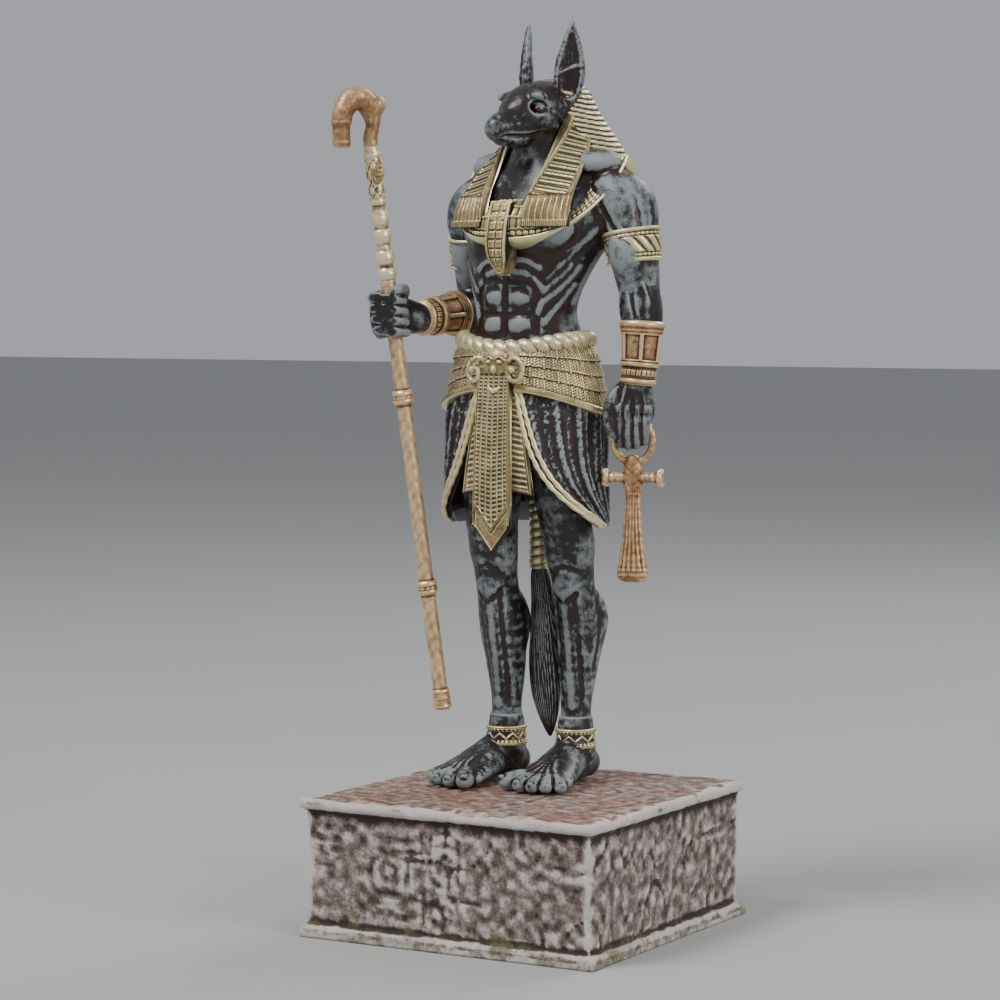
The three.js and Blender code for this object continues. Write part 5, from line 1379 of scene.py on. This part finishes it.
STAFF_PROFILE = [(26.7, 2.2), (26.9, 2.8), (27.6, 3.5), (28.2, 3.5), (28.8, 3.2), (33, 3.2), (33.6, 3.5), (34.1, 3.2),
                 (34.4, 2.7), (69.2, 2.7), (69.6, 3.2), (70.2, 3.8), (71, 3.9), (71.6, 3.4), (72.6, 3.4), (73.2, 3.9),
                 (74, 3.8), (74.6, 3.2), (75, 2.7), (139, 2.7), (139.6, 3.2), (140.2, 3.8), (141, 3.9), (141.6, 3.4),
                 (142.6, 3.4), (143.2, 3.9), (144, 3.8), (144.6, 3.2), (145, 2.7), (184.6, 2.7), (185.4, 3.2),
                 (187, 3.6), (188.6, 3.1), (189.2, 2.5), (190, 2.5), (191, 3.2), (192.6, 3.5), (194.3, 3.2), (195.6, 2.5),
                 (197.5, 2.4), (198.8, 3.0), (200.7, 3.4), (202.4, 3.0), (203.2, 2.4), (204.2, 2.6), (205.4, 3.1),
                 (207, 3.3), (209, 2.9), (210.4, 2.4), (211.4, 2.4), (212, 2.9), (213, 3.1), (214, 2.9), (228.6, 2.9),
                 (229.6, 3.1), (230.6, 2.8), (233, 2.6), (236, 2.5)]
CROOK = [(-0.3, 0, 2.5), (-1.2, 3.5, 2.4), (-1, 7, 2.9), (0.8, 11.4, 3.8), (4, 13.8, 4.2), (7.4, 13, 4.1), (10.2, 9.6, 3.7),
         (11.2, 5.4, 3.5), (11.2, 4.8, 3.1), (11.2, -1.8, 3.1), (11, -2.4, 2.8), (10.6, -9.5, 2.5)]
HOOK = np.array([-0.53, -0.85, 0])
HOOK_SIDE = np.array([0.85, -0.53, 0])


def make_shaft(name, low, high, material, pattern):
    profile = np.array(STAFF_PROFILE)
    heights = np.linspace(low, high, int((high - low) * 2.2) + 2)
    radius = np.interp(heights, profile[:, 0], profile[:, 1])
    path = np.array([staff_point(z) for z in heights])
    rings = sweep(path, radius, 28, lambda row, angle: 1 + pattern(heights[:, None], angle) / radius[:, None])
    return make_piece(name, *tube(rings), material, "staff", "gold", 6)


def shaft_pattern(z, angle):
    worn = 0.05 * np.sin(z * 1.3 + np.sin(angle * 2) * 2) + 0.04 * np.sin(angle * 5 + z * 0.4)
    beads = sum(bump((z - place) / 0.45) * np.abs(np.sin(angle * 9)) * 0.35 for place in (31, 72.1, 142.1))
    return worn + beads


def sleeve_pattern(z, angle):
    panel = smoothstep(214.2, 215, z) * smoothstep(228.4, 227.6, z)
    lattice = np.abs(np.sin(angle * 3 + z * 0.55)) * np.abs(np.sin(angle * 3 - z * 0.55))
    return panel * (0.5 * lattice ** 0.5 - 0.2) + 0.04 * np.sin(z * 2 + angle * 3)


def make_crook(material):
    clay = Clay((-68, -46, 232), (-42, -18, 256), 0.4)
    neck = staff_point(236)

    def at(forward, rise):
        point = neck + HOOK * forward
        point[2] = neck[2] + rise
        return point

    clay.limb([(*staff_point(233), 2.6, 2.6)] + [(*at(f, r), w, w) for f, r, w in CROOK], HOOK_SIDE, 0.4)
    clay.lump(at(-2.6, 11.5), (3.5, 3.5, 3.7), 32, 0, 1.2)
    clay.stroke([at(-5.6, 14), at(-3, 15.6), at(0, 15.2)], 0.7, -0.5)
    ring = []
    for step in range(13):
        around = step * 30 * DEGREE
        ring.append(at(11.2 + 3.3 * math.cos(around), 5.1) + HOOK_SIDE * 3.3 * math.sin(around))
    clay.stroke(ring, 0.5, 0.45)
    for rise, reach in ((-2.1, 3.0), (-8.6, 2.7), (-6.8, 2.7)):
        around = [at(11.0 + reach * math.cos(k * 30 * DEGREE), rise) + HOOK_SIDE * reach * math.sin(k * 30 * DEGREE)
                  for k in range(13)]
        clay.stroke(around, 0.5, 0.4)
    clay.grain(2.6, 0.12, 101, 3)
    return make_piece("crook", *clay.mesh(), material, "staff", "gold", 7)


def make_medallion(material):
    middle = staff_point(224) + HOOK_SIDE * 2.6
    clay = Clay(middle - (5, 5, 8), middle + (5, 5, 8), 0.25)
    clay.lump(middle, (2.6, 1.1, 5.4), -30, 7, 0.3)
    face = unit(HOOK_SIDE)
    across = unit(np.cross(UP, face))
    oval = [middle + face * 1.0 + across * 1.9 * math.sin(k * 30 * DEGREE) + UP * 4.3 * math.cos(k * 30 * DEGREE)
            for k in range(13)]
    clay.stroke(oval, 0.4, 0.4)
    for rise in (-2.4, -0.8, 0.8, 2.4):
        clay.stroke([middle + face * 1.2 + UP * rise - across, middle + face * 1.2 + UP * rise + across], 0.35, -0.35)
    return make_piece("medallion", *clay.mesh(), material, "staff", "gold", 5)


# Ankh

def in_ankh(across, ahead, rise):
    return in_plan(ANKH, across, -ahead, ANKH_HEIGHT + rise)


def make_ankh(material):
    clay = Clay((22, -2, 76), (54, 26, 139), 0.45)
    sideways = in_plan((0, 0, ANKH[2]), 1, 0, 0)
    loop = [in_ankh(7.25 * math.sin(k * 18 * DEGREE), 0, 8.0 * math.cos(k * 18 * DEGREE)) for k in range(21)]
    for a, b in zip(loop[:-1], loop[1:]):
        clay.bone(a, b, (1.3, 1.3), (1.3, 1.3), FRONT, 0.1)
    clay.limb([(*in_ankh(0, 0, rise), w, d) for rise, w, d in
               ((-6.6, 2, 1.6), (-9, 3, 2), (-11, 3.2, 2.3), (-16.5, 3.2, 2.3), (-18, 2.4, 1.9))], sideways, 0.5)
    clay.limb([(*in_ankh(across, 0, -13.4), w, w) for across, w in
               ((-8.6, 1.7), (-4, 1.7), (4, 1.7), (8.6, 1.7))], FRONT, 0.5)
    for side in (-1, 1):
        clay.lump(in_ankh(side * 9.8, 0, -13.4), (1.5, 2.3, 3.0), ANKH[2], 0, 0.3)
        clay.lump(in_ankh(side * 10.2, 0, -11.4), (1.4, 1.8, 1.4), ANKH[2], 0, 0.2)
        clay.lump(in_ankh(side * 10.2, 0, -15.6), (1.4, 1.8, 1.4), ANKH[2], 0, 0.2)
        clay.stroke([in_ankh(side * 7.4, z, r) for z, r in ((-1.8, -13.4), (0, -11.5), (1.8, -13.4), (0, -15.3))], 0.5, 0.4)
        for face in (-1, 1):
            clay.stroke([in_ankh(side * 2.6, 2.3 * face, -9.4), in_ankh(side * 0.4, 2.6 * face, -11.4),
                         in_ankh(side * 2.6, 2.5 * face, -13.6), in_ankh(side * 0.8, 2.5 * face, -16)], 0.4, -0.4)
    clay.limb([(*in_ankh(0, 0, rise), w, d) for rise, w, d in
               ((-17, 2.7, 2), (-24, 2.9, 2.1), (-36, 3.8, 2.4), (-47.4, 5.5, 2.9), (-49.0, 5.0, 2.6))], sideways, 0.4)
    for groove in range(-2, 3):
        for face in (-1, 1):
            spread = groove / 2.8
            clay.stroke([in_ankh(spread * w, face * d * math.sqrt(1 - spread**2), rise)
                         for rise, w, d in ((-19, 2.7, 2), (-26, 3, 2.1), (-36, 3.8, 2.4), (-47, 5.5, 2.8))], 0.45, -0.5)
    for rise in (-46.6, -48.4, -19.2):
        w, d = (5.4, 2.9) if rise < -30 else (2.7, 2)
        clay.stroke([in_ankh(w * math.sin(k * 30 * DEGREE), d * math.cos(k * 30 * DEGREE), rise) for k in range(13)],
                    0.5, 0.45)
    clay.grain(1.4, 0.08, 111, 2)
    return make_piece("ankh_body", *clay.mesh(), material, "ankh", "gold", 6)


# Plinth

SLAB, FOOT_SLAB, INSET, CHAMFER = 5.1, 4.9, 2, 0.8


def plinth_profile():
    """Half widths and heights from the top slab's edge to the foot's, measured from the plinth's top."""
    return [(HALF, -0.5), (HALF + 0.0, -SLAB + 0.9), (HALF - 0.6, -SLAB), (HALF - INSET, -SLAB - 0.2),
            (HALF - INSET, -TOP + FOOT_SLAB + 0.3), (HALF - 0.5, -TOP + FOOT_SLAB), (HALF, -TOP + FOOT_SLAB - 0.9),
            (HALF, -TOP + 0.3)]


# Shallow strokes on the front face that stand for its worn inscription, as lines of (x, height)
SIGNS = [
    [(-28, -12), (-19, -12.6), (-10, -12)], [(-28, -17), (-20, -17.4), (-10, -16.8)],
    [(-9, -9), (-9.4, -24), (-9, -42)], [(-6, -11), (-3, -9.4), (2, -9.4), (5, -12)],
    [(-6, -11), (-6.4, -20), (-5.6, -25)], [(5, -12), (5.6, -19), (5, -25)], [(-5, -26), (0, -28), (5, -26)],
    [(-3, -14), (0, -12.6), (3, -14)], [(-3, -18), (0, -17), (3, -18.4)], [(-3, -22), (0, -21), (3, -22)],
    [(-6, -38), (-5, -33.4), (0, -31.4), (4.6, -33.4), (6, -38)], [(-3, -36.6), (0, -35), (3, -36.6)],
    [(-30, -40), (-24, -38.4), (-18, -40.4), (-12, -38.6)], [(-6, -40.6), (0, -39.4), (7, -40.8)],
    [(-27, -24), (-24, -21), (-20, -24), (-24, -27), (-27, -24)], [(-16, -21), (-15.6, -25), (-16, -30)],
    [(-28, -32), (-22, -31), (-13, -32.4)],
]
FAR_SIGNS = [[(-54, -14), (-49, -14.6), (-44, -14)], [(-54, -24), (-49, -23.6), (-45, -24.4)],
             [(-52, -18), (-50, -21), (-47, -18)]]


def make_plinth(material):
    clay = Clay((-HALF - 1, -HALF - 1, -TOP - 1), (HALF + 1, HALF + 1, 2), 1.3)
    spans, x, y, z = clay.window((-99, -99, -99), (99, 99, 99))
    half = np.interp(clay.axes[2], *zip(*sorted(((h, w) for w, h in plinth_profile()))))
    side = np.maximum(np.abs(x), np.abs(y)) - half.astype(np.float32)
    distance = np.maximum(side, np.maximum(z + 0.4, -TOP + 0.15 - z))
    clay.add(spans, distance.astype(np.float32))
    near = np.argwhere(np.abs(clay.field) < 2.4)
    spots = clay.low + near * clay.voxel
    wear = 0.5 * rough(spots, 14, 121, 3) + 0.35 * rough(spots, 3.4, 122, 2)
    edge = np.sort(np.abs(np.stack([np.abs(spots[:, 0]) - HALF, np.abs(spots[:, 1]) - HALF,
                                    np.minimum(np.abs(spots[:, 2]), np.abs(spots[:, 2] + TOP))], -1)), axis=1)[:, 1]
    chips = np.clip(noise(spots, 7, 123) - 0.15, 0, None) * np.exp(-(edge / 2.6) ** 2) * 3.4
    flat_top = smoothstep(-3, -0.5, spots[:, 2]) * smoothstep(56, 52, np.abs(spots[:, :2]).max(1))
    cracks = np.exp(-(noise(spots, 17, 124) / 0.035) ** 2) * 0.55
    joints = np.exp(-((np.abs(np.abs(spots[:, 2] + TOP / 2) - (TOP / 2 - SLAB)) - 0.2) / 0.5) ** 2) * 0.4
    floor_side = smoothstep(-TOP + 1.5, -TOP + 3.5, spots[:, 2])
    amount = (0.35 + wear * (1 - 0.6 * flat_top) + chips + cracks * (1 - 0.5 * flat_top) + joints) * floor_side
    i, j, k = near.T
    clay.field[i, j, k] += np.clip(amount, 0, 3).astype(np.float32)
    for line in SIGNS:
        clay.stroke([(px, -HALF + INSET + 0.3, pz) for px, pz in line], 0.9, -1.2)
    for line in FAR_SIGNS:
        clay.stroke([(px, -HALF + INSET + 0.3, pz) for px, pz in line], 0.9, -1.0)
    for mark in range(4):
        py = -34 + 7.5 * mark
        clay.stroke([(HALF - INSET - 0.3, py, -14 - mark), (HALF - INSET - 0.3, py + 3, -20 - mark)], 0.9, -0.8)
    return make_piece("plinth_block", *clay.mesh(), material, "plinth", "stone", 6)


# Building

black = black_paint("black_skin")
shin = black_paint("dusty_black", 1.1, 0.36)
cloth = black_paint("kilt_cloth", 1.3, 0.6)
gold = gold_paint("pale_gold", (0.035, 0.03, 0.015), (0.36, 0.25, 0.11), (0.9, 0.78, 0.5))
copper = gold_paint("copper_gold", (0.04, 0.018, 0.01), (0.34, 0.17, 0.075), (0.85, 0.6, 0.35))
stone = stone_paint()
eye = eye_paint()

make_plinth(stone)
make_torso(black)
make_right_forearm(black)
make_left_forearm(black)
make_leg("left_leg", LEFT_LEG, -1, shin)
make_leg("right_leg", RIGHT_LEG, 1, shin)
make_foot("left_foot", (6.6, 35), (7.6, -4), (7.45, 23.5), LEFT_TOES, shin)
make_foot("right_foot", (-20, 30), (-26.6, -7.6), (-19, 18.3), RIGHT_TOES, shin)
make_head(black)
make_eye(1, eye)
make_eye(-1, eye)
make_hood(gold)
make_lappet(1, gold)
make_lappet(-1, gold)
make_collar(gold)
make_pendant(gold)
make_belt(gold)
make_girdle(gold)
make_kilt(cloth)
for number, (start, along) in enumerate(((0.4, 0), (3.2, 4))):
    for side in (-1, 1):
        make_trim(f"trim_{number}_{'left' if side > 0 else 'right'}", side, start, along, gold)
make_apron(gold)
make_apron_side(1, gold)
make_apron_side(-1, gold)
make_buckle(gold)
make_cuff("armlet_left", [(35.4, 13.5, 202.5), (36.4, 13.5, 196.5), (37.2, 13.5, 190.5)],
          [(9.4, 10), (8.8, 9.4)], armlet_pattern, gold)
make_cuff("armlet_right", [(-38, 27.6, 201), (-38.3, 28.4, 195), (-38.5, 29, 189)],
          [(9.2, 9.6), (8.6, 9)], armlet_pattern, gold)
make_cuff("bracelet_left", [(40.7, 12.4, 170), (40.2, 11.8, 158), (39.5, 11.2, 147)],
          [(7.2, 7.2), (6.4, 6.4), (5.4, 5.4)], bracelet_pattern, copper)
make_cuff("bracelet_right", [(-40, 17.5, 172.4), (-41.6, 7, 171.6), (-43.2, -3.5, 170.8)],
          [(7.4, 7.4), (6.6, 6.6), (5.6, 5.6)], bracelet_pattern, copper)
make_cuff("anklet_left", [(7.5, 23.5, 12.5), (7.5, 23.5, 16), (7.5, 23.5, 19.5)],
          [(6.6, 7), (6.3, 6.7)], anklet_pattern, gold)
make_cuff("anklet_right", [(-19, 18.3, 12.5), (-19, 18.3, 16), (-19, 18.3, 19.5)],
          [(6.6, 7), (6.3, 6.7)], anklet_pattern, gold)
make_tail(gold, cloth)
make_shaft("staff_low", 26.9, 184.6, copper, shaft_pattern)
make_shaft("staff_sleeve", 184.8, 234, gold, sleeve_pattern)
make_crook(copper)
make_medallion(gold)
make_ankh(copper)


# Studio

def flat_paint(name, color, roughness):
    paint = Paint(name)
    shade = paint.noise(300, 2, 0.5)
    return paint.finish(paint.ramp(shade, [(0, tuple(0.97 * c for c in color)), (1, color)]), roughness)


def make_floor():
    mesh = bpy.data.meshes.new("floor")
    corners = [(-8, -8, 0), (8, -8, 0), (8, 8, 0), (-8, 8, 0)]
    mesh.from_pydata(corners, [], [(0, 1, 2, 3)])
    mesh.materials.append(flat_paint("backdrop", (0.42, 0.42, 0.41), 0.9))
    floor = bpy.data.objects.new("floor", mesh)
    bpy.context.collection.objects.link(floor)


def make_light(name, place, aim, size, power, color=(1, 1, 1)):
    data = bpy.data.lights.new(name, "AREA")
    data.shape = "DISK"
    data.size = size
    data.energy = power
    data.color = color
    light = bpy.data.objects.new(name, data)
    bpy.context.collection.objects.link(light)
    light.location = place
    toward = np.array(aim) - np.array(place)
    light.rotation_euler = (math.acos(-toward[2] / np.linalg.norm(toward)), 0,
                            math.atan2(toward[1], toward[0]) - math.pi / 2)


make_floor()
make_light("key", (-0.5, -0.9, 1.5), (0, 0, 0.2), 0.7, 22)
make_light("side", (1.5, -0.3, 0.8), (0, 0, 0.2), 0.9, 12)
make_light("rim", (0.3, 1.3, 1.2), (0, 0, 0.25), 0.8, 10)
world = bpy.data.worlds.new("studio")
world.use_nodes = True
world.node_tree.nodes["Background"].inputs[0].default_value = (0.9, 0.93, 1, 1)
world.node_tree.nodes["Background"].inputs[1].default_value = 0.45
bpy.context.scene.world = world

camera_data = bpy.data.cameras.new("camera")
camera_data.lens = CAMERA_LENS
camera = bpy.data.objects.new("camera", camera_data)
bpy.context.collection.objects.link(camera)
camera.location = CAMERA_PLACE
camera.rotation_euler = (CAMERA_PITCH * DEGREE, 0, CAMERA_TURN * DEGREE)
bpy.context.scene.camera = camera
